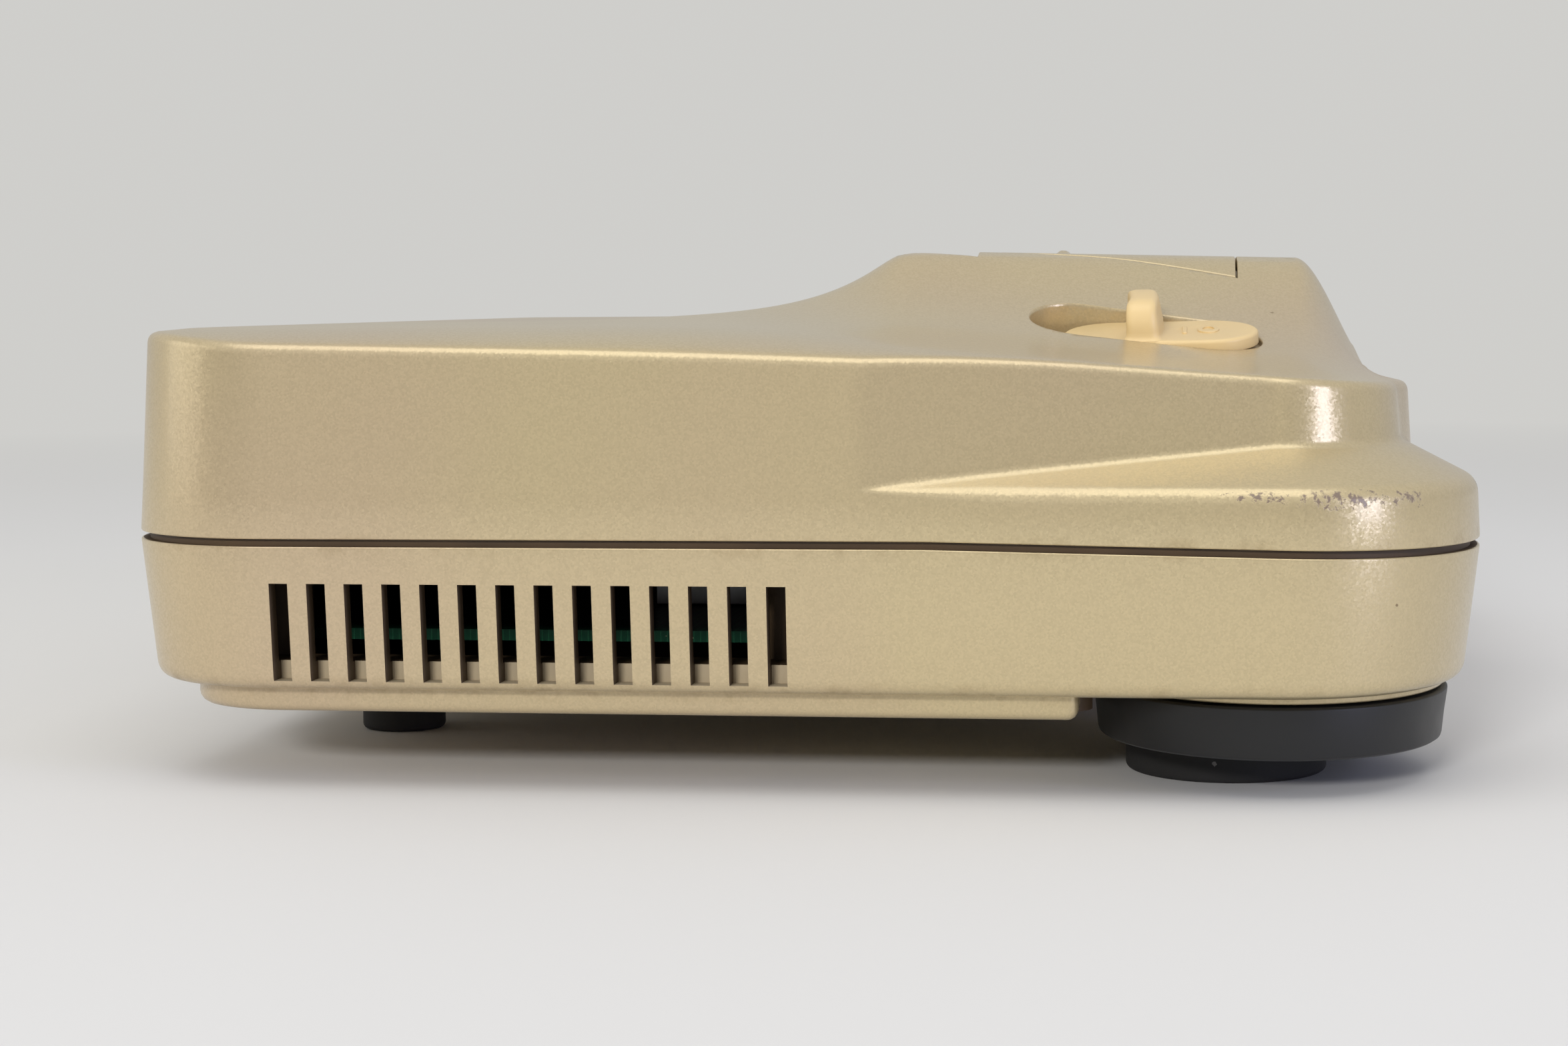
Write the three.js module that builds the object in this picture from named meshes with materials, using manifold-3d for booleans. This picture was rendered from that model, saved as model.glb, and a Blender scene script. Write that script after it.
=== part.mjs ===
// A four-port home game console: two moulded case shells, the controls on top, and the boards inside.
// Millimetres. X runs right as seen from the front, Y runs to the rear, Z runs up.
// The origin is on the table, under the middle of the case.
import * as THREE from 'three';
import { mergeVertices } from 'three/addons/utils/BufferGeometryUtils.js';
import Module from 'manifold-3d';

// ---------- driving dimensions ----------
// Clearances
const GAP = 0.3; // between pieces that touch
const SLIP = 0.4; // around pieces that move

// Case outline
const CASE_W = 260;
const CASE_D = 190;
const HUMP_TOP = 74.6; // highest point above the table
const DECK_TOP = 61.8; // rear edge of the flat deck
const DECK_FALL = 0.0275; // drop of the side edge per mm towards the front
const NOSE_DIP = 0.00063; // extra drop of the front of the side edge
const DECK_LEVEL = 63.8; // height of the level rear part of the deck
const DECK_CROWN = 0.6; // rise of the deck over its side edges at the front
const CROWN_REAR_RUN = 2.2;
const CROWN_POWER = 14; // the deck stays level until close to its sides
const WALL = 2.7;
const REAR_CORNER = 24.4;
const LEG_RX = 36.7; // half axes of the rounded front legs
const LEG_RY = 29.1;
const LEG_TURN = THREE.MathUtils.degToRad(135);
const LEG_FILLET = 8;
const NOSE_HALF = 11;
const NOSE_DEPTH = 4;
const SPEAR_FROM_FRONT = 84; // where the side shoulder starts
const SHOULDER_IN = 10.5; // how far the upper tier stands back at the legs
const FRONT_SHELF = 2.3; // and across the front
const SHOULDER_Z = 41.6;
const SHOULDER_RISE = 5;
const TOP_DRAFT = Math.tan(THREE.MathUtils.degToRad(3));

// Seam between the shells
const SEAM_Z = 34;
const SEAM_SLOPE = 0.02;
const SEAM_BEND_Y = -20;
const SEAM_REVEAL = 1;
const TONGUE_T = 1.2;
const TONGUE_IN = 1.3;
const TONGUE_H = 3.5;

// Hump
const HUMP_FALL = 0.0216;
const HUMP_FRONT_FOOT = 11; // from the front of the case
const HUMP_FRONT_TOP = 24;
const HUMP_REAR_TOP = 85.3;
const HUMP_REAR_RUN = 14;
const RIDGE_FRONT = 45; // half width of the hump at its front
const RIDGE_REAR = 63;
const FLANK_POWER = 3.1;
const FLANK_MARGIN = 4; // the flanks run out this far inside the case sides
const CREST_SHARP = 14; // how crisply the flanks meet the crest
const HUMP_REAR_ROUND = 1.2;

// Lower shell
const SIDE_FLOOR_Z = 13.8;
const BELLY_Z = 10.5;
const BELLY_IN = 6.2;
const BELLY_REAR_IN = 8.5;
const BELLY_FROM_FRONT = 55;
const BELLY_CORNER = 16;
const SILL_Z = 17.8;

// Vents
const VENT_COUNT = 14;
const VENT_PITCH = 5.28;
const VENT_W = 2.62;
const VENT_FROM_REAR = 25.1;
const VENT_LOW = 15.3;
const VENT_HIGH = 28.9;

// Cartridge slot, seen from above, and its two flaps
const SLOT_W = 119;
const SLOT_D = 19.5;
const SLOT_FROM_FRONT = 82.7;
const WELL_WALL = 1.7;
const WELL_LOW = 44;
const FLAP_Z = 61.5;
const FLAP_T = 1.6;
const PIN_R = 0.9;
const KNUCKLE_R = 2;

// Memory door
const DOOR_HALF = 53;
const DOOR_FRONT = 33.4; // from the front of the case
const DOOR_LEN = 36.3;
const DOOR_T = 2;
const BAY_HALF = 33;
const BAY_IN = 4; // the bay is this much shorter than the door at each end
const BAY_LOW = 40;

// Power slider and reset button
const KNOB_X = 77.5;
const KNOB_FROM_FRONT = 44.7;
const PLATE_L = 28.6;
const PLATE_W = 15;
const PLATE_T = 2;
const SLIDE_TRAVEL = 4.4;
const RIDGE_H = 5.6;
const RESET_TRAVEL = 1.8;
const KNOB_ROLL = THREE.MathUtils.degToRad(11);
const KNOB_PITCH = THREE.MathUtils.degToRad(-1);

// Controller ports
const PORT_W = 20.6;
const PORT_H = 15;
const PORT_Z = 23.8;
const PORT_DEPTH = 17;
const PORT_INNER_X = 22.5;
const PORT_PITCH = 28;

// Boards and shields
const BOARD_Z = 18.4;
const BOARD_T = 1.6;
const BOARD_IN = 26;
const SHIELD_T = 0.8;
const SHIELD_H = 9.5;
const SWITCH_HALF = 6;
const SPREADER_HALF = 52;

// Rear: power-supply bay and audio-video socket
const SUPPLY_W = 76;
const SUPPLY_D = 55;
const SUPPLY_WALL = 2.2;
const SOCKET_HALF = 14.6;
const SOCKET_BACK = 12;
const AV_IN = 82; // from the side of the case
const AV_W = 27;
const AV_H = 9.6;
const AV_Z = 25.2;

// Feet and screws
const DISC_RX = 31.3;
const DISC_RY = 25;
const DISC_LOW = 5.4;
const DISC_HIGH = 12.7;
const PAD_RX = 16;
const PAD_RY = 14.2;
const REAR_FOOT_R = 6.5;
const REAR_FOOT_IN = 64; // from the side of the case
const REAR_FOOT_FROM_REAR = 26.5;
const SCREW_R = 1.5;
const SCREW_HEAD_R = 3;
const BOSS_R = 4.6;
const POST_R = 3.8;
const SCREW_IN = 16; // from the sides of the case
const SCREW_REAR = 22; // from the rear of the case
const SCREW_MIDDLE = 95;
const SCREW_FRONT = 58; // from the front of the case
const SCREW_HEAD_LOW = 19.4;
const SCREW_HEAD_T = 2.2;
const POST_LOW = 30.3; // where the posts of the top shell end

// Expansion cover under the case
const EXPANSION_W = 60;
const EXPANSION_D = 30;
const EXPANSION_X = -52;
const EXPANSION_FROM_REAR = 68;

// Rating plate under the case
const LABEL_X = 20;
const LABEL_FROM_FRONT = 78;
const LABEL_W = 64;
const LABEL_D = 26;

// ---------- positions that follow from them ----------
const HALF_W = CASE_W / 2;
const REAR = CASE_D / 2;
const FRONT = -CASE_D / 2;
const LEG_X = HALF_W - LEG_RX;
const LEG_Y = FRONT + LEG_RY;
const SPEAR_Y = FRONT + SPEAR_FROM_FRONT;
const SLOT_Y = FRONT + SLOT_FROM_FRONT;
const KNOB_Y = FRONT + KNOB_FROM_FRONT;
const CROWN_FRONT_Y = FRONT + 35;
const CROWN_REAR_Y = FRONT + 125;
const DOOR_Y = FRONT + DOOR_FRONT + DOOR_LEN / 2;
const EXPANSION_Y = REAR - EXPANSION_FROM_REAR;
const LABEL_Y = FRONT + LABEL_FROM_FRONT;
const BOARD_TOP = BOARD_Z + BOARD_T;
const REAR_FOOT_X = HALF_W - REAR_FOOT_IN;
const AV_X = AV_IN - HALF_W;
const SCREW_YS = [REAR - SCREW_REAR, REAR - SCREW_MIDDLE, FRONT + SCREW_FRONT];
const SUPPLY_X = REAR_FOOT_X - REAR_FOOT_R - SUPPLY_WALL - 1 - SUPPLY_W / 2;
const SUPPLY_FRONT = REAR - SUPPLY_D;
const SOCKET_LOW = BOARD_TOP + GAP;
const SOCKET_TOP = SOCKET_LOW + 10;

// ---------- solids ----------
const wasm = await Module();
wasm.setup();

function solid(geometry) {
  const bare = geometry.clone();
  bare.deleteAttribute('normal');
  bare.deleteAttribute('uv');
  const merged = mergeVertices(bare, 1e-4);
  return new wasm.Manifold(
    new wasm.Mesh({
      numProp: 3,
      vertProperties: new Float32Array(merged.attributes.position.array),
      triVerts: new Uint32Array(merged.index.array),
    }),
  );
}

// Triangles thinner than this are merged away after the cuts
const SLIVER = 0.004;

function geometryOf(manifold) {
  const mesh = manifold.asOriginal().simplify(SLIVER).getMesh();
  const geometry = new THREE.BufferGeometry();
  const corners = new Float32Array(mesh.vertProperties);
  geometry.setAttribute('position', new THREE.BufferAttribute(corners, 3));
  geometry.setIndex(new THREE.BufferAttribute(new Uint32Array(mesh.triVerts), 1));
  return geometry;
}

// A box given by its two corners
function box(x0, y0, z0, x1, y1, z1) {
  const geometry = new THREE.BoxGeometry(x1 - x0, y1 - y0, z1 - z0);
  geometry.translate((x0 + x1) / 2, (y0 + y1) / 2, (z0 + z1) / 2);
  return solid(geometry);
}

// An upright elliptical cylinder
function disc(x, y, z0, z1, rx, ry = rx, sides = 24) {
  const geometry = new THREE.CylinderGeometry(1, 1, z1 - z0, sides);
  geometry.rotateX(Math.PI / 2);
  geometry.scale(rx, ry, 1);
  geometry.translate(x, y, (z0 + z1) / 2);
  return solid(geometry);
}

// A rod along X
function rod(x0, x1, y, z, r, sides = 12) {
  const geometry = new THREE.CylinderGeometry(r, r, x1 - x0, sides);
  geometry.rotateZ(Math.PI / 2);
  geometry.translate((x0 + x1) / 2, y, z);
  return solid(geometry);
}

// A slot-shaped plate: straight sides along Y and round ends
function stadium(length, width, depth, segments = 8) {
  const r = width / 2;
  const shape = new THREE.Shape();
  shape.absarc(0, length / 2 - r, r, 0, Math.PI, false);
  shape.absarc(0, r - length / 2, r, Math.PI, 2 * Math.PI, false);
  return new THREE.ExtrudeGeometry(shape, { depth, bevelEnabled: false, curveSegments: segments });
}

// A closed skin through rings of equal point count, lowest ring first, each anticlockwise from above
function loft(rings) {
  const count = rings[0].length;
  const points = rings.flat();
  const index = [];
  for (let r = 0; r + 1 < rings.length; r += 1) {
    for (let i = 0; i < count; i += 1) {
      const j = (i + 1) % count;
      const a = r * count + i;
      const b = r * count + j;
      index.push(a, b, b + count, a, b + count, a + count);
    }
  }
  const cap = (ring) => {
    const flat = ring.map((p) => new THREE.Vector2(p.x, p.y));
    return THREE.ShapeUtils.triangulateShape(flat, []);
  };
  for (const [a, b, c] of cap(rings[0])) index.push(a, c, b);
  const last = (rings.length - 1) * count;
  for (const [a, b, c] of cap(rings[rings.length - 1])) index.push(last + a, last + b, last + c);
  const geometry = new THREE.BufferGeometry().setFromPoints(points);
  geometry.setIndex(index);
  return solid(geometry);
}

// ---------- the case outline, seen from above ----------
function halfOutline() {
  const points = [];
  const cornerSteps = 6;
  for (let i = 0; i <= cornerSteps; i += 1) {
    const a = Math.PI / 2 + (i / cornerSteps) * (Math.PI / 2);
    points.push({
      x: -(HALF_W - REAR_CORNER) + REAR_CORNER * Math.cos(a),
      y: REAR - REAR_CORNER + REAR_CORNER * Math.sin(a),
      shelf: 0,
    });
  }
  points.push({ x: -HALF_W, y: SPEAR_Y, shelf: 0 });
  const spearSteps = 5;
  for (let i = 1; i < spearSteps; i += 1) {
    const t = i / spearSteps;
    points.push({ x: -HALF_W, y: THREE.MathUtils.lerp(SPEAR_Y, LEG_Y, t), shelf: SHOULDER_IN * t });
  }
  const legSteps = 10;
  for (let i = 0; i <= legSteps; i += 1) {
    const phi = (i / legSteps) * LEG_TURN;
    const past = Math.max(0, (phi - Math.PI / 2) / (LEG_TURN - Math.PI / 2));
    points.push({
      x: -LEG_X - LEG_RX * Math.cos(phi),
      y: LEG_Y - LEG_RY * Math.sin(phi),
      shelf: THREE.MathUtils.lerp(SHOULDER_IN, FRONT_SHELF, past),
    });
  }
  const tangent = new THREE.Vector2(LEG_RX * Math.sin(LEG_TURN), -LEG_RY * Math.cos(LEG_TURN));
  const turn = tangent.angle();
  const end = points[points.length - 1];
  const filletX = end.x + LEG_FILLET * Math.sin(turn);
  const filletY = end.y - LEG_FILLET * Math.cos(turn);
  const filletSteps = 3;
  for (let i = 1; i <= filletSteps; i += 1) {
    const a = turn * (1 - i / filletSteps);
    points.push({
      x: filletX - LEG_FILLET * Math.sin(a),
      y: filletY + LEG_FILLET * Math.cos(a),
      shelf: FRONT_SHELF,
    });
  }
  const flatY = filletY + LEG_FILLET;
  const noseSteps = 4;
  for (let i = 0; i <= noseSteps; i += 1) {
    const x = -NOSE_HALF * (1 - i / noseSteps);
    const y = flatY - (NOSE_DEPTH / 2) * (1 + Math.cos((Math.PI * x) / NOSE_HALF));
    points.push({ x, y, shelf: FRONT_SHELF, straight: true });
  }
  return { points, flatY };
}

const { points: leftPoints, flatY: FLAT_Y } = halfOutline();
const mirrored = leftPoints
  .slice(0, -1)
  .reverse()
  .map((p) => ({ ...p, x: -p.x }));
const OUTLINE = [...leftPoints, ...mirrored].map((p, i, all) => {
  const before = all[(i + all.length - 1) % all.length];
  const after = all[(i + 1) % all.length];
  const along = new THREE.Vector2(after.x - before.x, after.y - before.y).normalize();
  // The nose is moved straight back, so that no inset folds it
  if (p.straight) return { ...p, nx: 0, ny: -1 };
  return { ...p, nx: along.y, ny: -along.x };
});

// The outline moved inward by inset(point), at the height level(point)
function ring(inset, level) {
  return OUTLINE.map((p) => {
    const d = inset(p);
    return new THREE.Vector3(p.x - p.nx * d, p.y - p.ny * d, level(p));
  });
}

// ---------- the surface of the top ----------
const seamZ = (y) => SEAM_Z + SEAM_SLOPE * Math.min(0, y - SEAM_BEND_Y);

function edgeZ(y) {
  const dip = Math.min(0, y - SEAM_BEND_Y);
  return DECK_TOP - DECK_FALL * (REAR - y) - NOSE_DIP * dip * dip;
}

// The rise of the deck over its side edges, level at the rear and slight at the front
function crownAt(y) {
  const toRear = THREE.MathUtils.smoothstep(y, CROWN_FRONT_Y, CROWN_REAR_Y);
  const rise = THREE.MathUtils.lerp(DECK_CROWN, DECK_LEVEL - edgeZ(y), toRear);
  return rise * (1 - Math.exp(-Math.max(0, REAR - y) / CROWN_REAR_RUN));
}

function ridgeX(y) {
  const t = (y - FRONT - HUMP_FRONT_TOP) / (HUMP_REAR_TOP - HUMP_FRONT_TOP);
  return THREE.MathUtils.lerp(RIDGE_FRONT, RIDGE_REAR, THREE.MathUtils.clamp(t, 0, 1));
}

// The hump rises out of the deck on concave flanks, drops steeply at the front and runs out at the rear
function topZ(x, y) {
  const base = edgeZ(y) + crownAt(y) * (1 - Math.min(1, Math.abs(x) / HALF_W) ** CROWN_POWER);
  const front = THREE.MathUtils.smoothstep(y, FRONT + HUMP_FRONT_FOOT, FRONT + HUMP_FRONT_TOP);
  const past = y - FRONT - HUMP_REAR_TOP;
  const overRear = HUMP_REAR_ROUND * Math.log(1 + Math.exp(past / HUMP_REAR_ROUND));
  const rear = Math.exp(-overRear / HUMP_REAR_RUN);
  const reach = HALF_W - FLANK_MARGIN;
  const across = Math.max(0, reach - Math.abs(x)) / (reach - ridgeX(y));
  const flank = across ** FLANK_POWER;
  const cut = Math.exp(-CREST_SHARP) + Math.exp(-CREST_SHARP * Math.min(flank, 4));
  const profile = -Math.log(cut) / CREST_SHARP;
  const crest = HUMP_TOP - HUMP_FALL * (HUMP_REAR_TOP - (y - FRONT)) * (past < 0 ? 1 : 0);
  return base + (crest - base) * front * rear * Math.max(0, profile);
}

// Everything under the top surface, lowered by drop, between two heights of the outline box
function underTop(drop, low) {
  const nx = 30;
  const ny = 26;
  const margin = 4;
  const geometry = new THREE.BoxGeometry(CASE_W + margin, CASE_D + margin, 1, nx, ny, 1);
  const position = geometry.attributes.position;
  for (let i = 0; i < position.count; i += 1) {
    const x = position.getX(i);
    const y = position.getY(i);
    position.setZ(i, position.getZ(i) > 0 ? topZ(x, y) - drop : low);
  }
  return solid(geometry);
}

// ---------- top shell ----------
const SHOULDER_STEP = 0.5;
const shelfZ = (p) => SHOULDER_Z + SHOULDER_STEP + (SHOULDER_RISE * p.shelf) / SHOULDER_IN;
const SHOULDER_AT = 0.4; // inset of the case side just under the shoulder
const SHELF_FALL = 1.2; // how far the inner skin passes the shoulder lower down
const ABOVE = HUMP_TOP + 8; // above everything
const draftAt = (z) => (z - SHOULDER_Z) * TOP_DRAFT;

// A rim that follows the seam is carried in to this inset, so that only the waste inside it is capped
const RIM_IN = 3.6;

function tierLoft(extra, lowLevel) {
  const inner = extra > 0;
  const fall = inner ? SHELF_FALL : 0;
  const foot = (p) => extra + SHOULDER_AT + draftAt(SHOULDER_Z + SHOULDER_STEP) + p.shelf;
  const rings = [
    ring(() => extra, lowLevel),
    ring(() => extra + SHOULDER_AT, () => SHOULDER_Z - fall),
    ring(foot, (p) => shelfZ(p) - fall),
    ring((p) => foot(p) + draftAt(ABOVE), () => ABOVE),
  ];
  return loft(inner ? rings : [ring(() => RIM_IN, lowLevel), ...rings]);
}

// The boss positions of the six case screws
const SCREWS = [];
for (const side of [-1, 1]) {
  for (const y of SCREW_YS) {
    SCREWS.push({ x: side * (HALF_W - SCREW_IN), y });
  }
}
// Plate, recess and stem of the two controls share one tilted frame
function knobFrame(side, x = 0, y = 0, z = 0) {
  const place = new THREE.Matrix4().makeTranslation(side * KNOB_X, KNOB_Y, topZ(KNOB_X, KNOB_Y));
  const roll = new THREE.Matrix4().makeRotationY(side * KNOB_ROLL);
  const pitch = new THREE.Matrix4().makeRotationX(KNOB_PITCH);
  return place.multiply(roll).multiply(pitch).multiply(new THREE.Matrix4().makeTranslation(x, y, z));
}
const RECESS_L = PLATE_L + SLIDE_TRAVEL + 2 * SLIP;
const RECESS_W = PLATE_W + 2 * SLIP;
const recessDeep = (side) => PLATE_T + SLIP + (side < 0 ? SLIP : RESET_TRAVEL);
const CUP_WALL = 1.5;
const CUP_FLOOR = 1.6;
const STEM_W = 5;
const STEM_L = 8;

function makeTopShell() {
  const outer = tierLoft(0, (p) => seamZ(p.y) + SEAM_REVEAL).intersect(underTop(0, 20));
  const rabbet = loft([
    ring(() => TONGUE_IN - GAP, () => 20),
    ring(() => TONGUE_IN - GAP, (p) => seamZ(p.y) + TONGUE_H + GAP),
    ring(() => RIM_IN, (p) => seamZ(p.y) + TONGUE_H + GAP),
  ]);
  const cavity = tierLoft(WALL, () => 22).intersect(underTop(WALL, 15));
  let shell = outer.subtract(rabbet).subtract(cavity);

  // Well of the cartridge slot
  const wx = SLOT_W / 2 + WELL_WALL;
  const wy = SLOT_D / 2 + WELL_WALL;
  const belowSkin = underTop(0.4, 20);
  const well = box(-wx, SLOT_Y - wy, WELL_LOW, wx, SLOT_Y + wy, ABOVE);
  shell = shell.add(well.intersect(belowSkin));
  // Walls of the memory bay
  const bx = BAY_HALF + WELL_WALL;
  const bay0 = FRONT + DOOR_FRONT + BAY_IN;
  const bay1 = bay0 + DOOR_LEN - 2 * BAY_IN;
  const bay = box(-bx, bay0 - WELL_WALL, BAY_LOW, bx, bay1 + WELL_WALL, ABOVE);
  shell = shell.add(bay.intersect(belowSkin));
  // Pockets of the two controls
  for (const side of [-1, 1]) {
    const length = side < 0 ? RECESS_L : PLATE_L + 2 * SLIP;
    const shift = side < 0 ? SLIDE_TRAVEL / 2 : 0;
    const deep = recessDeep(side);
    const cup = stadium(length + 2 * CUP_WALL, RECESS_W + 2 * CUP_WALL, deep + CUP_FLOOR + 1);
    cup.applyMatrix4(knobFrame(side, 0, shift, -deep - CUP_FLOOR));
    shell = shell.add(solid(cup).intersect(underTop(0.2, 20)));
    const pocket = stadium(length, RECESS_W, deep + 12);
    pocket.applyMatrix4(knobFrame(side, 0, shift, -deep));
    shell = shell.subtract(solid(pocket));
    const slotLong = STEM_L + 2 * SLIP + (side < 0 ? SLIDE_TRAVEL : 0);
    const stemSlot = new THREE.BoxGeometry(STEM_W + 2 * SLIP, slotLong, 16);
    stemSlot.applyMatrix4(knobFrame(side, 0, shift, -deep - 4));
    shell = shell.subtract(solid(stemSlot));
  }
  // Screw posts
  for (const s of SCREWS) {
    shell = shell.add(disc(s.x, s.y, POST_LOW, topZ(s.x, s.y) - 1, POST_R, POST_R, 16));
  }
  for (const s of SCREWS) {
    shell = shell.subtract(disc(s.x, s.y, POST_LOW - 1, POST_LOW + 12, SCREW_R + GAP, SCREW_R + GAP, 12));
  }
  // Openings: slot, door and bay, and the bearings of the flap pins
  const sx = SLOT_W / 2;
  const sy = SLOT_D / 2;
  shell = shell.subtract(box(-sx, SLOT_Y - sy, WELL_LOW - 1, sx, SLOT_Y + sy, ABOVE));
  const dx = DOOR_HALF + GAP;
  const dy = DOOR_LEN / 2 + GAP;
  const doorHole = box(-dx, DOOR_Y - dy, 45, dx, DOOR_Y + dy, ABOVE);
  const doorLedge = underTop(DOOR_T + GAP, 10);
  shell = shell.subtract(doorHole.subtract(doorLedge));
  shell = shell.subtract(box(-BAY_HALF, bay0, BAY_LOW - 1, BAY_HALF, bay1, ABOVE));
  for (const side of [-1, 1]) {
    const y = SLOT_Y + side * (sy - KNUCKLE_R - SLIP);
    shell = shell.subtract(rod(-sx - WELL_WALL + 0.5, sx + WELL_WALL - 0.5, y, FLAP_Z, PIN_R + GAP));
  }
  return shell;
}

// ---------- bottom shell ----------
function bellyOutline(inset, z) {
  const x = HALF_W - BELLY_IN - inset;
  const rear = REAR - BELLY_REAR_IN - inset;
  const front = FRONT + BELLY_FROM_FRONT + inset;
  const corner = BELLY_CORNER - inset;
  const shape = new THREE.Shape();
  shape.moveTo(x, front);
  shape.lineTo(x, rear - corner);
  shape.absarc(x - corner, rear - corner, corner, 0, Math.PI / 2, false);
  shape.absarc(corner - x, rear - corner, corner, Math.PI / 2, Math.PI, false);
  shape.lineTo(-x, front);
  return shape.getPoints(5).map((p) => new THREE.Vector3(p.x, p.y, z));
}

function portShape(grow) {
  const w = PORT_W / 2 + grow;
  const h = PORT_H / 2 + grow;
  const round = 6;
  const shape = new THREE.Shape();
  shape.moveTo(-w, h);
  shape.lineTo(-w, round - h);
  shape.absarc(round - w, round - h, round, Math.PI, 1.5 * Math.PI, false);
  shape.absarc(w - round, round - h, round, 1.5 * Math.PI, 2 * Math.PI, false);
  shape.lineTo(w, h);
  return shape;
}

// A port outline carried along Y from y0 to y1
function portPrism(x, y0, y1, grow) {
  const geometry = new THREE.ExtrudeGeometry(portShape(grow), {
    depth: y1 - y0,
    bevelEnabled: false,
    curveSegments: 4,
  });
  geometry.rotateX(Math.PI / 2);
  geometry.translate(x, y1, PORT_Z);
  return solid(geometry);
}

const PORTS = [-1, 1].flatMap((side) => [0, 1].map((n) => side * (PORT_INNER_X + n * PORT_PITCH)));
PORTS.sort((a, b) => a - b);
const LENS_Z = 27;
const LENS_R = 2.4;
const BAY_CEILING = SEAM_Z - 1.2;

function makeBottomShell() {
  const rim = (p) => seamZ(p.y);
  const outer = loft([
    ring(() => 6.5, () => SIDE_FLOOR_Z),
    ring(() => 4.2, () => SIDE_FLOOR_Z + 0.8),
    ring(() => 2.6, () => SIDE_FLOOR_Z + 2.7),
    ring(() => 1.6, () => SIDE_FLOOR_Z + 6.2),
    ring(() => 0, rim),
    ring(() => RIM_IN, rim),
  ]);
  const tongue = loft([
    ring(() => TONGUE_IN + 0.9, () => SEAM_Z - 8),
    ring(() => TONGUE_IN, (p) => rim(p) - 0.4),
    ring(() => TONGUE_IN, (p) => rim(p) + TONGUE_H),
    ring(() => RIM_IN, (p) => rim(p) + TONGUE_H),
  ]);
  const belly = loft([
    bellyOutline(1.6, BELLY_Z),
    bellyOutline(0, BELLY_Z + 1.1),
    bellyOutline(0, SIDE_FLOOR_Z + 1),
  ]);
  const cavity = loft([
    ring(() => 1.9 + WALL, () => SILL_Z),
    ring(() => TONGUE_IN + TONGUE_T + 0.2, () => SEAM_Z + TONGUE_H + 2),
  ]);
  const belly0 = FRONT + BELLY_FROM_FRONT + 3;
  const belly1 = REAR - BELLY_REAR_IN - WALL - 8;
  const floor = box(-HALF_W + 13, belly0, BELLY_Z + WALL, HALF_W - 13, belly1, SILL_Z + 1);
  let shell = outer.add(tongue).add(belly).subtract(cavity).subtract(floor);

  // Lips above the foot discs
  for (const side of [-1, 1]) {
    const lip = disc(side * LEG_X, LEG_Y, DISC_HIGH + GAP, SIDE_FLOOR_Z + 1, DISC_RX - 2, DISC_RY - 2);
    shell = shell.add(lip);
  }
  // Power-supply bay: a box open to the rear and below
  const s0 = SUPPLY_X - SUPPLY_W / 2;
  const s1 = SUPPLY_X + SUPPLY_W / 2;
  shell = shell.add(
    box(s0 - SUPPLY_WALL, SUPPLY_FRONT - SUPPLY_WALL, BELLY_Z + 1, s1 + SUPPLY_WALL, REAR - 3, BAY_CEILING),
  );
  // Screw bosses
  for (const s of SCREWS) {
    shell = shell.add(disc(s.x, s.y, BELLY_Z + 0.5, POST_LOW - GAP, BOSS_R, BOSS_R, 16));
  }
  // Frame around the expansion port
  const ex = EXPANSION_W / 2;
  const ey = EXPANSION_D / 2;
  const frame = 1.6;
  shell = shell.add(
    box(
      EXPANSION_X - ex - frame, EXPANSION_Y - ey - frame, BELLY_Z + 0.2,
      EXPANSION_X + ex + frame, EXPANSION_Y + ey + frame, BOARD_Z - GAP - 0.3,
    ),
  );
  shell = shell.subtract(box(s0, SUPPLY_FRONT, BELLY_Z - 2, s1, REAR + 2, BAY_CEILING - 1.6));
  const window = SOCKET_HALF + GAP;
  shell = shell.subtract(
    box(
      SUPPLY_X - window, SUPPLY_FRONT - 5, BOARD_TOP,
      SUPPLY_X + window, SUPPLY_FRONT + 1, SOCKET_TOP + GAP,
    ),
  );
  // Wells for the screw heads and holes for the shanks
  const seat = SCREW_HEAD_LOW + SCREW_HEAD_T + 0.4;
  const wellR = SCREW_HEAD_R + 2 * GAP;
  const holeR = SCREW_R + GAP;
  for (const s of SCREWS) {
    shell = shell.subtract(disc(s.x, s.y, BELLY_Z - 1, seat, wellR, wellR, 16));
    shell = shell.subtract(disc(s.x, s.y, seat - 1, POST_LOW + 1, holeR, holeR, 12));
  }
  shell = shell.subtract(
    box(EXPANSION_X - ex, EXPANSION_Y - ey, BELLY_Z + 2, EXPANSION_X + ex, EXPANSION_Y + ey, BOARD_Z + 4),
  );
  shell = shell.subtract(
    box(EXPANSION_X - ex, EXPANSION_Y - ey, BELLY_Z - 1, EXPANSION_X + ex, EXPANSION_Y + ey, BELLY_Z + 3),
  );
  const lx = LABEL_W / 2;
  const ly = LABEL_D / 2;
  shell = shell.subtract(
    box(LABEL_X - lx, LABEL_Y - ly, BELLY_Z - 1, LABEL_X + lx, LABEL_Y + ly, BELLY_Z + 1),
  );
  // Vents on both sides
  for (const side of [-1, 1]) {
    for (let i = 0; i < VENT_COUNT; i += 1) {
      const y1 = REAR - VENT_FROM_REAR - i * VENT_PITCH;
      const xa = side * (HALF_W + 2);
      const xb = side * (HALF_W - 5.6);
      shell = shell.subtract(box(Math.min(xa, xb), y1 - VENT_W, VENT_LOW, Math.max(xa, xb), y1, VENT_HIGH));
    }
  }
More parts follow.
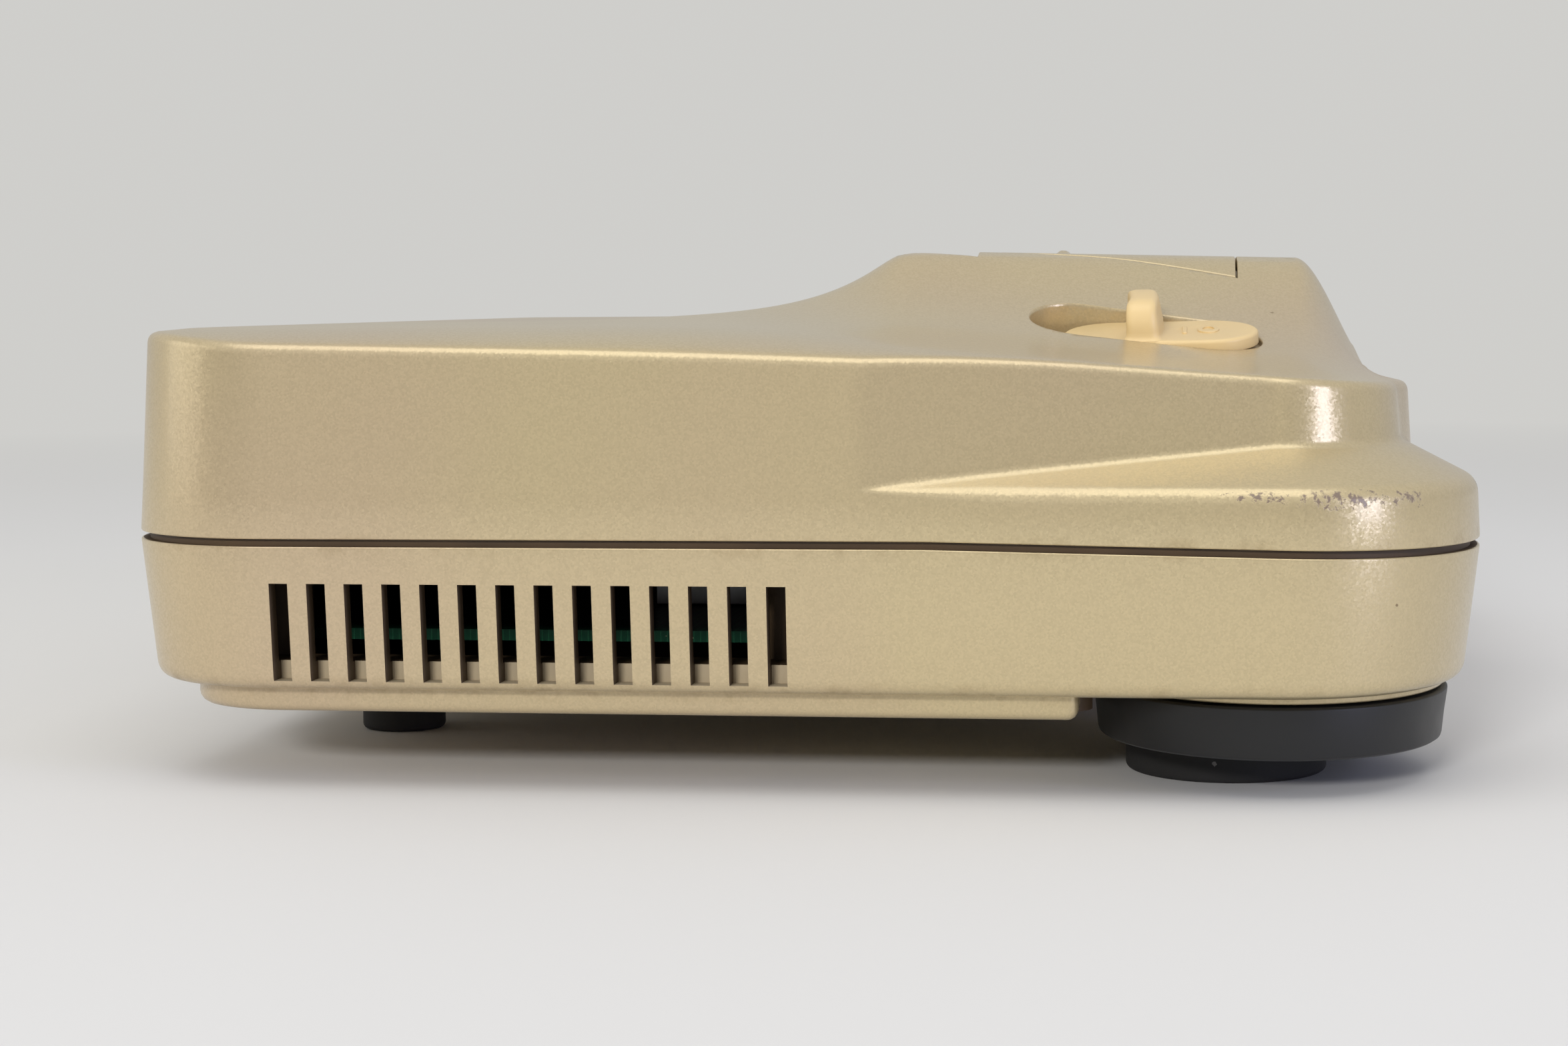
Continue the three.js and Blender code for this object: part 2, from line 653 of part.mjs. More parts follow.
  // Controller ports, light and rear socket
  for (const x of PORTS) shell = shell.subtract(portPrism(x, FLAT_Y - 4, FLAT_Y + PORT_DEPTH + 3, GAP));
  const lensHole = new THREE.CylinderGeometry(LENS_R + GAP, LENS_R + GAP, 14, 16);
  lensHole.translate(0, FLAT_Y, LENS_Z);
  shell = shell.subtract(solid(lensHole));
  const ax = AV_W / 2 + GAP;
  const az = AV_H / 2 + GAP;
  shell = shell.subtract(box(AV_X - ax, REAR - 8, AV_Z - az, AV_X + ax, REAR + 2, AV_Z + az));
  return shell;
}

// ---------- controls ----------
// A plate on a square stem; the slider has an arched finger ridge across it
function makeKnob(side, stemLow) {
  const length = PLATE_L;
  const plate = stadium(length, PLATE_W, PLATE_T);
  plate.applyMatrix4(knobFrame(side, 0, 0, -PLATE_T));
  let knob = solid(plate);
  const top = topZ(KNOB_X, KNOB_Y) - 1;
  const stem = box(-STEM_W / 2 + 1, -STEM_L / 2 + 1, stemLow, STEM_W / 2 - 1, STEM_L / 2 - 1, top);
  knob = knob.add(stem.translate([side * KNOB_X, KNOB_Y, 0]));
  if (side < 0) {
    const arch = new THREE.Shape();
    const half = PLATE_W / 2 - 0.6;
    arch.moveTo(-half, -1);
    arch.lineTo(half, -1);
    arch.lineTo(half, RIDGE_H * 0.45);
    arch.quadraticCurveTo(half, RIDGE_H, half - 4, RIDGE_H);
    arch.lineTo(4 - half, RIDGE_H);
    arch.quadraticCurveTo(-half, RIDGE_H, -half, RIDGE_H * 0.45);
    const ridge = new THREE.ExtrudeGeometry(arch, { depth: 4.8, bevelEnabled: false, curveSegments: 4 });
    ridge.rotateX(Math.PI / 2);
    ridge.applyMatrix4(knobFrame(side, 0, 5.2, 0));
    knob = knob.add(solid(ridge));
  }
  return knob;
}

// ---------- cartridge flaps ----------
const FLAP_LEN = SLOT_W - 1.2;
const flapAxisY = (side) => SLOT_Y + side * (SLOT_D / 2 - KNUCKLE_R - SLIP);
const SPRING_LEN = 9;
const SPRING_IN = 6; // from the end of the flap
const WIRE_R = 0.22;

function makeFlap(side) {
  const y = flapAxisY(side);
  const lip = SLOT_Y + (side * SLIP) / 2;
  const y0 = Math.min(y, lip);
  const y1 = Math.max(y, lip);
  const half = FLAP_LEN / 2;
  const leaf = box(-half, y0, FLAP_Z - FLAP_T / 2, half, y1, FLAP_Z + FLAP_T / 2);
  const knuckle = rod(-half, half, y, FLAP_Z, KNUCKLE_R, 16);
  const bore = rod(-half - 1, half + 1, y, FLAP_Z, PIN_R + GAP);
  const reach = KNUCKLE_R + 0.6;
  const x0 = half - SPRING_IN - SPRING_LEN;
  const relief = box(x0, y - reach, FLAP_Z - reach, x0 + SPRING_LEN, y + reach, FLAP_Z + reach);
  return leaf.add(knuckle).subtract(bore).subtract(relief);
}

class Helix extends THREE.Curve {
  constructor(radius, length, turns) {
    super();
    this.radius = radius;
    this.length = length;
    this.turns = turns;
  }

  getPoint(t, target = new THREE.Vector3()) {
    const a = 2 * Math.PI * this.turns * t;
    return target.set(this.length * t, this.radius * Math.cos(a), this.radius * Math.sin(a));
  }
}

function makeSpring(side) {
  const wire = new THREE.Shape();
  wire.absarc(0, 0, WIRE_R, 0, 2 * Math.PI, false);
  const turns = 5;
  const path = new Helix(PIN_R + GAP + 0.25, SPRING_LEN - 2 * GAP - 0.6, turns);
  const coil = new THREE.ExtrudeGeometry(wire, {
    steps: turns * 10,
    extrudePath: path,
    curveSegments: 3,
  });
  const x0 = FLAP_LEN / 2 - SPRING_IN - SPRING_LEN;
  coil.translate(x0 + GAP + 0.3, flapAxisY(side), FLAP_Z);
  return coil;
}

// ---------- boards, shields and connectors ----------
function makeMainBoard() {
  const x = HALF_W - BOARD_IN;
  const front = FLAT_Y + PORT_DEPTH + 6;
  const left = SUPPLY_X - SUPPLY_W / 2 - SUPPLY_WALL - 1;
  const deep = box(-x, front, BOARD_Z, left, REAR - 12, BOARD_TOP);
  const wide = box(-x, front, BOARD_Z, x, SUPPLY_FRONT - SUPPLY_WALL - 1, BOARD_TOP);
  return deep.add(wide);
}

const CONNECTOR = { half: 33, depth: 12, top: WELL_LOW - 3 };
const MEMORY_CONNECTOR = { half: 27, depth: 8, top: BAY_LOW + 2 };
const SHIELD_X = KNOB_X - SWITCH_HALF - 2;
const SHIELD_FRONT = FLAT_Y + PORT_DEPTH + 10;
const SHIELD_REAR = SUPPLY_FRONT - SOCKET_BACK - 1;

function makeUpperShield() {
  const low = BOARD_TOP + GAP;
  const high = low + SHIELD_H;
  const t = SHIELD_T;
  let shield = box(-SHIELD_X, SHIELD_FRONT, low, SHIELD_X, SHIELD_REAR, high);
  shield = shield.subtract(
    box(-SHIELD_X + t, SHIELD_FRONT + t, low - 1, SHIELD_X - t, SHIELD_REAR - t, high - t),
  );
  for (const [c, y] of [[CONNECTOR, SLOT_Y], [MEMORY_CONNECTOR, DOOR_Y]]) {
    const hx = c.half + 1.2;
    const hy = c.depth / 2 + 1.2;
    shield = shield.subtract(box(-hx, y - hy, low, hx, y + hy, high + 1));
  }
  return shield;
}

function makeLowerShield() {
  const z = BELLY_Z + WALL + GAP;
  const x = SHIELD_X;
  const y0 = FRONT + BELLY_FROM_FRONT + 8;
  const y1 = SHIELD_REAR;
  const tray = box(-x, y0, z, x, y1, BOARD_Z - GAP);
  const t = SHIELD_T;
  const inside = box(-x + t, y0 + t, z + t, x - t, y1 - t, BOARD_Z + 1);
  const hx = EXPANSION_W / 2 + 3;
  const hy = EXPANSION_D / 2 + 3;
  const window = box(
    EXPANSION_X - hx, EXPANSION_Y - hy, z - 1,
    EXPANSION_X + hx, EXPANSION_Y + hy, BOARD_Z + 1,
  );
  return tray.subtract(inside).subtract(window);
}

// An edge connector: a block with a long slot in its top
function makeEdgeConnector(c, y, slotWidth) {
  const low = BOARD_TOP + GAP;
  const block = box(-c.half, y - c.depth / 2, low, c.half, y + c.depth / 2, c.top);
  const slot = box(-c.half + 2, y - slotWidth / 2, low + 6, c.half - 2, y + slotWidth / 2, c.top + 1);
  return block.subtract(slot);
}

function makePort(x) {
  const front = FLAT_Y + 0.6;
  const back = front + PORT_DEPTH;
  const cup = portPrism(x, front, back, 0);
  const hollow = portPrism(x, front - 1, back - 3, -2);
  let port = cup.subtract(hollow);
  for (const dx of [-4.4, 0, 4.4]) {
    const pin = new THREE.CylinderGeometry(1, 1, 8, 8);
    pin.translate(x + dx, back - 6.5, PORT_Z);
    port = port.add(solid(pin));
  }
  return port;
}

function makeAvSocket() {
  const x0 = AV_X - AV_W / 2;
  const x1 = AV_X + AV_W / 2;
  const z0 = AV_Z - AV_H / 2;
  const z1 = AV_Z + AV_H / 2;
  const face = REAR - 2.4;
  const block = box(x0, face - 16, z0, x1, face, z1);
  const hollow = box(x0 + 2, face - 11, z0 + 2, x1 - 2, face + 1, z1 - 2);
  return block.subtract(hollow);
}

function makeSupplySocket() {
  const y = SUPPLY_FRONT;
  const x0 = SUPPLY_X - SOCKET_HALF;
  const x1 = SUPPLY_X + SOCKET_HALF;
  const body = box(x0, y - SOCKET_BACK, SOCKET_LOW, x1, y + 4, SOCKET_TOP);
  const hollow = box(x0 + 2, y - 6, SOCKET_LOW + 2, x1 - 2, y + 5, SOCKET_TOP - 2);
  const middle = (SOCKET_LOW + SOCKET_TOP) / 2;
  let socket = body.subtract(hollow);
  for (let i = 0; i < 6; i += 1) {
    const x = SUPPLY_X - 10 + i * 4;
    socket = socket.add(box(x - 0.6, y - 7, middle - 1, x + 0.6, y + 1, middle + 1));
  }
  return socket;
}

// A pan head with a cross recess, and its shank
function makeScrew(s) {
  const low = SCREW_HEAD_LOW;
  const top = low + SCREW_HEAD_T;
  const head = disc(s.x, s.y, low, top, SCREW_HEAD_R, SCREW_HEAD_R, 16);
  const shank = disc(s.x, s.y, top - 0.6, POST_LOW + 10, SCREW_R, SCREW_R, 10);
  const across = box(-2, -0.4, low - 0.4, 2, 0.4, low + 0.8);
  const along = box(-0.4, -2, low - 0.4, 0.4, 2, low + 0.8);
  return head.add(shank).subtract(across.add(along).translate([s.x, s.y, 0]));
}

// ---------- assembly ----------
const gameConsole = new THREE.Group();
function paint(color, roughness, metalness = 0) {
  return new THREE.MeshStandardMaterial({ color, roughness, metalness });
}
const GOLD = paint(0xcdbb92, 0.42, 0.55);
const IVORY = paint(0xe6cf9c, 0.45);
const BLACK = paint(0x232628, 0.5);
const RUBBER = paint(0x1c1c1c, 0.9);
const STEEL = paint(0xb9bcc0, 0.3, 0.9);
const TIN = paint(0xa8adb0, 0.4, 0.9);
const BOARD = paint(0x2d5b3a, 0.6);
const ALUMINIUM = paint(0xc4c7ca, 0.35, 0.95);
const LIGHT = paint(0xb02018, 0.2);
const LABEL = paint(0xb8b8b4, 0.6);

function place(name, shape, material) {
  const geometry = shape.isBufferGeometry ? shape : geometryOf(shape);
  const mesh = new THREE.Mesh(geometry, material);
  mesh.name = name;
  gameConsole.add(mesh);
}

place('top_shell', makeTopShell(), GOLD);
place('bottom_shell', makeBottomShell(), GOLD);

const doorBox = box(-DOOR_HALF, DOOR_Y - DOOR_LEN / 2, 40, DOOR_HALF, DOOR_Y + DOOR_LEN / 2, ABOVE);
place('memory_door', doorBox.intersect(underTop(0, 30)).subtract(underTop(DOOR_T, 20)), GOLD);

const SWITCH_TOP = 30;
const LEVER_TOP = 34;
place('power_slider', makeKnob(-1, LEVER_TOP + GAP), IVORY);
place('reset_button', makeKnob(1, SWITCH_TOP + RESET_TRAVEL + 2 * GAP + 2), IVORY);
const switchLow = BOARD_TOP + GAP;
const powerBody = box(-SWITCH_HALF, -9, switchLow, SWITCH_HALF, 11, SWITCH_TOP - GAP);
place('power_switch', powerBody.translate([-KNOB_X, KNOB_Y, 0]), BLACK);
const lever = box(-1.5, -2, SWITCH_TOP, 1.5, 2, LEVER_TOP);
place('power_switch_lever', lever.translate([-KNOB_X, KNOB_Y, 0]), BLACK);
const resetBody = box(-SWITCH_HALF, -SWITCH_HALF, switchLow, SWITCH_HALF, SWITCH_HALF, SWITCH_TOP);
const plunger = disc(0, 0, SWITCH_TOP - 1, SWITCH_TOP + 1.6, 2, 2, 12);
place('reset_switch', resetBody.add(plunger).translate([KNOB_X, KNOB_Y, 0]), BLACK);

for (const [label, side] of [['front', -1], ['rear', 1]]) {
  place(`slot_flap_${label}`, makeFlap(side), BLACK);
  const reach = SLOT_W / 2 + WELL_WALL - 0.5 - GAP;
  place(`flap_pin_${label}`, rod(-reach, reach, flapAxisY(side), FLAP_Z, PIN_R, 10), STEEL);
  place(`flap_spring_${label}`, makeSpring(side), STEEL);
}

place('main_board', makeMainBoard(), BOARD);
place('upper_shield', makeUpperShield(), TIN);
place('lower_shield', makeLowerShield(), TIN);
const spreaderFront = SLOT_Y + CONNECTOR.depth / 2 + 4;
const spreader = box(
  -SPREADER_HALF, spreaderFront, BOARD_TOP + 2,
  SPREADER_HALF, SHIELD_REAR - 3, BOARD_TOP + SHIELD_H - 1.2,
);
place('heat_spreader', spreader, ALUMINIUM);
place('cartridge_connector', makeEdgeConnector(CONNECTOR, SLOT_Y, 4), BLACK);
place('memory_connector', makeEdgeConnector(MEMORY_CONNECTOR, DOOR_Y, 3), BLACK);
const moduleLow = MEMORY_CONNECTOR.top + GAP;
const moduleHalf = BAY_HALF - 2;
const moduleTop = DECK_TOP;
const bladeHalf = MEMORY_CONNECTOR.half - 4;
const blade = box(-bladeHalf, -0.7, moduleLow - 8, bladeHalf, 0.7, moduleLow + 1);
const moduleBody = box(-moduleHalf, -12, moduleLow, moduleHalf, 12, moduleTop);
place('memory_module', moduleBody.add(blade).translate([0, DOOR_Y, 0]), BLACK);

PORTS.forEach((x, i) => place(`controller_port_${i + 1}`, makePort(x), BLACK));
const portBack = FLAT_Y + 0.6 + PORT_DEPTH + GAP;
const portReach = PORTS[3] + PORT_W / 2 + 2;
place('port_board', box(-portReach, portBack, SILL_Z, portReach, portBack + BOARD_T, SEAM_Z - 2), BOARD);
const lens = new THREE.CylinderGeometry(LENS_R, LENS_R, 7, 20);
lens.translate(0, FLAT_Y - NOSE_DEPTH + 4.4, LENS_Z);
place('light_lens', lens, LIGHT);
const lamp = new THREE.CylinderGeometry(1.5, 1.5, portBack - FLAT_Y - 5, 12);
lamp.translate(0, (portBack + FLAT_Y + 5) / 2 - GAP, LENS_Z);
place('power_light', lamp, LIGHT);

place('av_socket', makeAvSocket(), BLACK);
place('supply_socket', makeSupplySocket(), BLACK);
const ex = EXPANSION_W / 2 - SLIP;
const ey = EXPANSION_D / 2 - SLIP;
place(
  'expansion_cover',
  box(EXPANSION_X - ex, EXPANSION_Y - ey, BELLY_Z, EXPANSION_X + ex, EXPANSION_Y + ey, BELLY_Z + 2),
  GOLD,
);
place(
  'expansion_connector',
  box(EXPANSION_X - 24, EXPANSION_Y - 4, BELLY_Z + 3.4, EXPANSION_X + 24, EXPANSION_Y + 4, BOARD_Z - GAP),
  BLACK,
);
const lx = LABEL_W / 2 - GAP;
const ly = LABEL_D / 2 - GAP;
place(
  'rating_plate',
  box(LABEL_X - lx, LABEL_Y - ly, BELLY_Z + 0.1, LABEL_X + lx, LABEL_Y + ly, BELLY_Z + 0.7),
  LABEL,
);

for (const [name, side] of [['left', -1], ['right', 1]]) {
  place(`foot_disc_${name}`, disc(side * LEG_X, LEG_Y, DISC_LOW, DISC_HIGH, DISC_RX, DISC_RY, 36), BLACK);
  const padY = LEG_Y + 6;
  place(`front_pad_${name}`, disc(side * LEG_X, padY, 0, DISC_LOW - GAP, PAD_RX, PAD_RY, 28), RUBBER);
  const footY = REAR - REAR_FOOT_FROM_REAR;
  const foot = disc(side * REAR_FOOT_X, footY, 0, BELLY_Z - GAP, REAR_FOOT_R, REAR_FOOT_R, 24);
  place(`rear_foot_${name}`, foot, RUBBER);
}
SCREWS.forEach((s, i) => place(`case_screw_${i + 1}`, makeScrew(s), STEEL));

export default gameConsole;
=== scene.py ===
import math

import bpy
import numpy as np
from mathutils import Matrix, Vector


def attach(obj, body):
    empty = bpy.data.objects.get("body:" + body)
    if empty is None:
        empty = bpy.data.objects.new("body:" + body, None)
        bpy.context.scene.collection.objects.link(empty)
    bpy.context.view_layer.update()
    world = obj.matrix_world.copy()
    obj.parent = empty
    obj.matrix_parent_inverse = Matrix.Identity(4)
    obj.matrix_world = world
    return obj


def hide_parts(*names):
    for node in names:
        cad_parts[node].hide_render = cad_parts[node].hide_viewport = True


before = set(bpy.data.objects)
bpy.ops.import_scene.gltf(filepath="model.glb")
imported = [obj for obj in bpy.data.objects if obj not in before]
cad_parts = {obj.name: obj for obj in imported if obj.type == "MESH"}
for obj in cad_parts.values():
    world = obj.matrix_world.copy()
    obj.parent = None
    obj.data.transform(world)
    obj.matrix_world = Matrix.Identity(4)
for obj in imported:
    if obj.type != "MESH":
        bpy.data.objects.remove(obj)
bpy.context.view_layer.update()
scene = bpy.context.scene

# ---------------------------------------------------------------- camera
# A long lens at the left side of the console, a little above its top, looking slightly down.
MM = 0.001
LENS = 67.404
CAMERA_AT = Vector((-515.1, -54.8, 67.02)) * MM
YAW, PITCH, ROLL = (math.radians(a) for a in (7.906, 4.341, -0.3976))

level = math.cos(PITCH)
forward = Vector((math.cos(YAW) * level, math.sin(YAW) * level, -math.sin(PITCH)))
level_side = forward.cross(Vector((0, 0, 1))).normalized()
level_up = level_side.cross(forward)
side_axis = level_side * math.cos(ROLL) + level_up * math.sin(ROLL)
up_axis = level_up * math.cos(ROLL) - level_side * math.sin(ROLL)
camera_data = bpy.data.cameras.new("camera")
camera_data.sensor_width = 36.0
camera_data.lens = LENS
camera = bpy.data.objects.new("camera", camera_data)
scene.collection.objects.link(camera)
axes = Matrix((side_axis, up_axis, -forward)).transposed().to_4x4()
camera.matrix_world = Matrix.Translation(CAMERA_AT) @ axes
scene.camera = camera
scene.view_settings.view_transform = "Standard"

# ---------------------------------------------------------------- table and studio light
# A pale matt table lit by a low distant lamp behind the camera and a softbox overhead, with a
# tall cool softbox beyond the front of the console, a fill beyond its rear and a dim room behind.
TABLE_R = 6.0
TABLE_TONE = (0.725, 0.722, 0.712, 1)
TABLE_DARK = tuple(0.985 * c for c in TABLE_TONE[:3]) + (1,)
BACKDROP = (0.625, 0.62, 0.60, 1)
SWEEP = (0.35, 1.1)
ROOM_TONE = (0.09, 0.08, 0.077, 1)
SKY_TONE = (0.55, 0.55, 0.55, 1)
WALL_TONE = (0.50, 0.50, 0.49, 1)


def material(name, roughness=0.5, metallic=0.0, colour=(0.5, 0.5, 0.5)):
    """A new node material; returns it with its node tree and its Principled shader."""
    made = bpy.data.materials.new(name)
    made.use_nodes = True
    tree = made.node_tree
    shader = tree.nodes["Principled BSDF"]
    shader.inputs["Base Color"].default_value = (*colour, 1)
    shader.inputs["Roughness"].default_value = roughness
    shader.inputs["Metallic"].default_value = metallic
    return made, tree, shader


def feed(tree, socket, value):
    """Links another socket's value in, or sets a constant."""
    if isinstance(value, bpy.types.NodeSocket):
        tree.links.new(value, socket)
    else:
        socket.default_value = value


def node(tree, kind, operation=None, **values):
    """A node of that kind, with inputs set by name (spaces as _) or by number (as i0, i1)."""
    made = tree.nodes.new(kind)
    if operation:
        made.operation = operation
    for key, value in values.items():
        numbered = key[0] == "i" and key[1:].isdigit()
        socket = made.inputs[int(key[1:])] if numbered else made.inputs[key.replace("_", " ")]
        feed(tree, socket, value)
    return made


def blend_colour(tree, amount, below, above):
    """The colour below, covered by the colour above where amount is 1."""
    mix = tree.nodes.new("ShaderNodeMix")
    mix.data_type = "RGBA"
    feed(tree, mix.inputs["Factor"], amount)
    feed(tree, mix.inputs[6], below)
    feed(tree, mix.inputs[7], above)
    return mix.outputs[2]


def spread(tree, value, low, high, to_low=0.0, to_high=1.0):
    """The value carried from the range low..high to to_low..to_high, and held at its ends."""
    made = node(
        tree, "ShaderNodeMapRange", Value=value,
        From_Min=low, From_Max=high, To_Min=to_low, To_Max=to_high,
    )
    return made.outputs[0]


def vector_of(tree, operation, a, b, c=None):
    """One Vector Math node's result."""
    third = {} if c is None else {"i2": c}
    return node(tree, "ShaderNodeVectorMath", operation, i0=a, i1=b, **third).outputs[0]


def noise(tree, spot, scale, detail, **more):
    """A noise texture's value."""
    made = node(tree, "ShaderNodeTexNoise", Vector=spot, Scale=scale, Detail=detail, **more)
    return made.outputs["Fac"]


def sum_of(tree, operation, a, b):
    """One Math node's result."""
    return node(tree, "ShaderNodeMath", operation, i0=a, i1=b).outputs[0]


angle = np.linspace(0, 2 * np.pi, 96, endpoint=False)
table_ring = np.stack([TABLE_R * np.cos(angle), TABLE_R * np.sin(angle), 0 * angle], 1)
table_mesh = bpy.data.meshes.new("table")
table_mesh.from_pydata(table_ring.tolist(), [], [list(range(len(angle)))])
table = bpy.data.objects.new("table", table_mesh)
scene.collection.objects.link(table)
table_paint, tree, shader = material("table_top", roughness=0.75)
spot = node(tree, "ShaderNodeTexCoord").outputs["Object"]
mottle = noise(tree, spot, 6.0, 2.0)
feed(tree, shader.inputs["Base Color"], blend_colour(tree, mottle, TABLE_TONE, TABLE_DARK))
# Away from the console the table runs into the backdrop without a line
reach = node(tree, "ShaderNodeVectorMath", "LENGTH", i0=spot).outputs["Value"]
sweep = node(tree, "ShaderNodeEmission", Color=BACKDROP, Strength=1.0)
far = spread(tree, reach, *SWEEP)
joined = node(tree, "ShaderNodeMixShader", i0=far, i1=shader.outputs[0], i2=sweep.outputs[0])
tree.links.new(joined.outputs[0], tree.nodes["Material Output"].inputs["Surface"])
table_mesh.materials.append(table_paint)

world = bpy.data.worlds.new("studio")
scene.world = world
world.use_nodes = True
sky = world.node_tree
sky.nodes.clear()
toward = node(
    sky, "ShaderNodeSeparateXYZ", Vector=node(sky, "ShaderNodeTexCoord").outputs["Generated"]
)
overhead = spread(sky, toward.outputs["Z"], 0.05, 0.55)
beyond = spread(sky, toward.outputs["X"], -0.35, 0.35)
room = blend_colour(sky, beyond, ROOM_TONE, WALL_TONE)
room = blend_colour(sky, overhead, room, SKY_TONE)
seen = node(sky, "ShaderNodeBackground", Color=BACKDROP, Strength=1.0)
lighting = node(sky, "ShaderNodeBackground", Color=room, Strength=1.0)
camera_ray = node(sky, "ShaderNodeLightPath").outputs["Is Camera Ray"]
choice = node(sky, "ShaderNodeMixShader", i0=camera_ray, i1=lighting.outputs[0], i2=seen.outputs[0])
sky.links.new(choice.outputs[0], node(sky, "ShaderNodeOutputWorld").inputs["Surface"])


def softbox(name, at, aim, size, watts, colour=(1, 1, 1)):
    """A rectangular area light at a place, turned to its aim; both in metres."""
    data = bpy.data.lights.new(name, "AREA")
    data.shape = "RECTANGLE"
    data.size, data.size_y = size
    data.energy = watts
    data.color = colour
    light = bpy.data.objects.new(name, data)
    scene.collection.objects.link(light)
    light.location = at
    light.rotation_mode = "QUATERNION"
    light.rotation_quaternion = (Vector(aim) - Vector(at)).to_track_quat("-Z", "Y")
    light.visible_camera = False
    return light


LAMP_AT, LAMP_SIZE, LAMP_TONE = (-2.80, 0.45, 0.96), (0.6, 0.3), (1.0, 0.985, 0.97)
COOL = (0.62, 0.66, 1.0)
softbox("overhead_softbox", (-0.45, 0.05, 1.25), (0, 0, 0), (1.3, 1.0), 6.0, (1.0, 0.99, 0.97))
# The main lamp is split, so that little of it is mirrored in the paint
main = softbox("main_softbox", LAMP_AT, (0, 0, 0), LAMP_SIZE, 44.0, LAMP_TONE)
main.visible_glossy = False
softbox("glint_softbox", LAMP_AT, (0, 0, 0), LAMP_SIZE, 5.0, LAMP_TONE)
softbox("front_softbox", (-0.82, -1.48, 0.40), (-0.05, -0.05, 0.03), (0.5, 0.8), 8.0, COOL)
softbox("rear_fill", (-0.30, 1.60, 0.50), (0, 0, 0.03), (1.0, 0.9), 2.5, (1.0, 0.98, 0.94))

# ---------------------------------------------------------------- the case outline and its surface
# Both case shells follow one plan outline: rounded rear corners, two bulging front legs with
# feet under them and a small nose between the legs. The roof carries the hump with the slot.
HALF_W, REAR, FRONT = 130.0, 95.0, -95.0
REAR_CORNER = 24.4
LEG_X, LEG_Y, LEG_RX, LEG_RY = 93.3, -65.9, 36.7, 29.1
LEG_TURN = math.radians(135)
LEG_FILLET = 8.0
NOSE_HALF, NOSE_DEPTH = 11.0, 4.0
SPEAR_Y = -11.0
SHOULDER_IN, FRONT_SHELF = 10.5, 2.3
SHOULDER_Z, SHOULDER_STEP, SHOULDER_RISE = 41.6, 0.5, 5.0
TOP_DRAFT = math.tan(math.radians(3))
SEAM_Z, SEAM_SLOPE, SEAM_BEND_Y, SEAM_REVEAL = 34.0, 0.02, -20.0, 1.0
DECK_TOP, DECK_FALL, NOSE_DIP, DECK_CROWN = 61.8, 0.0275, 0.00063, 0.6
DECK_LEVEL, CROWN_RUN, CROWN_POWER = 63.8, 2.2, 14
CROWN_FRONT_Y, CROWN_REAR_Y = FRONT + 35, FRONT + 125
HUMP_TOP, HUMP_FALL = 74.6, 0.0216
HUMP_FOOT_Y, HUMP_FRONT_Y, HUMP_REAR_Y, HUMP_RUN = -84.0, -71.0, -9.7, 14.0
BROW_FRONT, BROW_REAR = 45.0, 63.0
FLANK_POWER, FLANK_MARGIN = 3.1, 4
CREST_SHARP, REAR_ROUND = 14.0, 1.2
HUMP_MIDDLE = np.array([0.0, -40.0])


def case_outline():
    """The plan outline, anticlockwise from the rear: corner arc, straight side, leg ellipse, hollow
    fillet, straight front and cosine nose, then the same mirrored. Gives the points, their inward
    ways, the shelf depths and the y of the straight front."""
    a = np.linspace(np.pi / 2, np.pi, 26)
    cx, cy = REAR_CORNER - HALF_W, REAR - REAR_CORNER
    corner = np.stack([cx + REAR_CORNER * np.cos(a), cy + REAR_CORNER * np.sin(a), 0 * a], 1)
    y = np.linspace(REAR - REAR_CORNER, SPEAR_Y, 56)[1:]
    side = np.stack([0 * y - HALF_W, y, 0 * y], 1)
    t = np.linspace(0, 1, 40)[1:-1]
    spear = np.stack([0 * t - HALF_W, SPEAR_Y + (LEG_Y - SPEAR_Y) * t, SHOULDER_IN * t], 1)
    phi = np.linspace(0, LEG_TURN, 60)
    past = np.clip((phi - np.pi / 2) / (LEG_TURN - np.pi / 2), 0, 1)
    past = past * past * (3 - 2 * past)
    leg = np.stack([
        -LEG_X - LEG_RX * np.cos(phi), LEG_Y - LEG_RY * np.sin(phi),
        SHOULDER_IN + (FRONT_SHELF - SHOULDER_IN) * past,
    ], 1)
    turn = math.atan2(-LEG_RY * math.cos(LEG_TURN), LEG_RX * math.sin(LEG_TURN))
    fx = leg[-1, 0] + LEG_FILLET * math.sin(turn)
    fy = leg[-1, 1] - LEG_FILLET * math.cos(turn)
    b = turn * (1 - np.linspace(0, 1, 10)[1:])
    fillet = np.stack([
        fx - LEG_FILLET * np.sin(b), fy + LEG_FILLET * np.cos(b), 0 * b + FRONT_SHELF,
    ], 1)
    flat_y = fy + LEG_FILLET
    x = np.linspace(fillet[-1, 0], -NOSE_HALF, 20)[1:-1]
    flat = np.stack([x, 0 * x + flat_y, 0 * x + FRONT_SHELF], 1)
    x = np.linspace(-NOSE_HALF, 0, 14)
    bulge = NOSE_DEPTH / 2 * (1 + np.cos(np.pi * x / NOSE_HALF))
    nose = np.stack([x, flat_y - bulge, 0 * x + FRONT_SHELF], 1)
    left = np.concatenate([corner, side, spear, leg, fillet, flat, nose])
    right = left[:-1][::-1] * np.array([-1, 1, 1])
    whole = np.concatenate([left, right])
    along = np.roll(whole[:, :2], -1, 0) - np.roll(whole[:, :2], 1, 0)
    along /= np.linalg.norm(along, axis=1)[:, None]
    inward = np.stack([-along[:, 1], along[:, 0]], 1)
    straight = (np.abs(whole[:, 0]) <= NOSE_HALF) & (whole[:, 1] < 0)
    inward[straight] = (0, 1)
    return whole[:, :2], inward, whole[:, 2], flat_y


OUTLINE, INWARD, SHELF, FLAT_Y = case_outline()


def seam_z(y):
    """Height of the lower shell's rim: level, falling a little towards the front."""
    return SEAM_Z + SEAM_SLOPE * np.minimum(0, y - SEAM_BEND_Y)


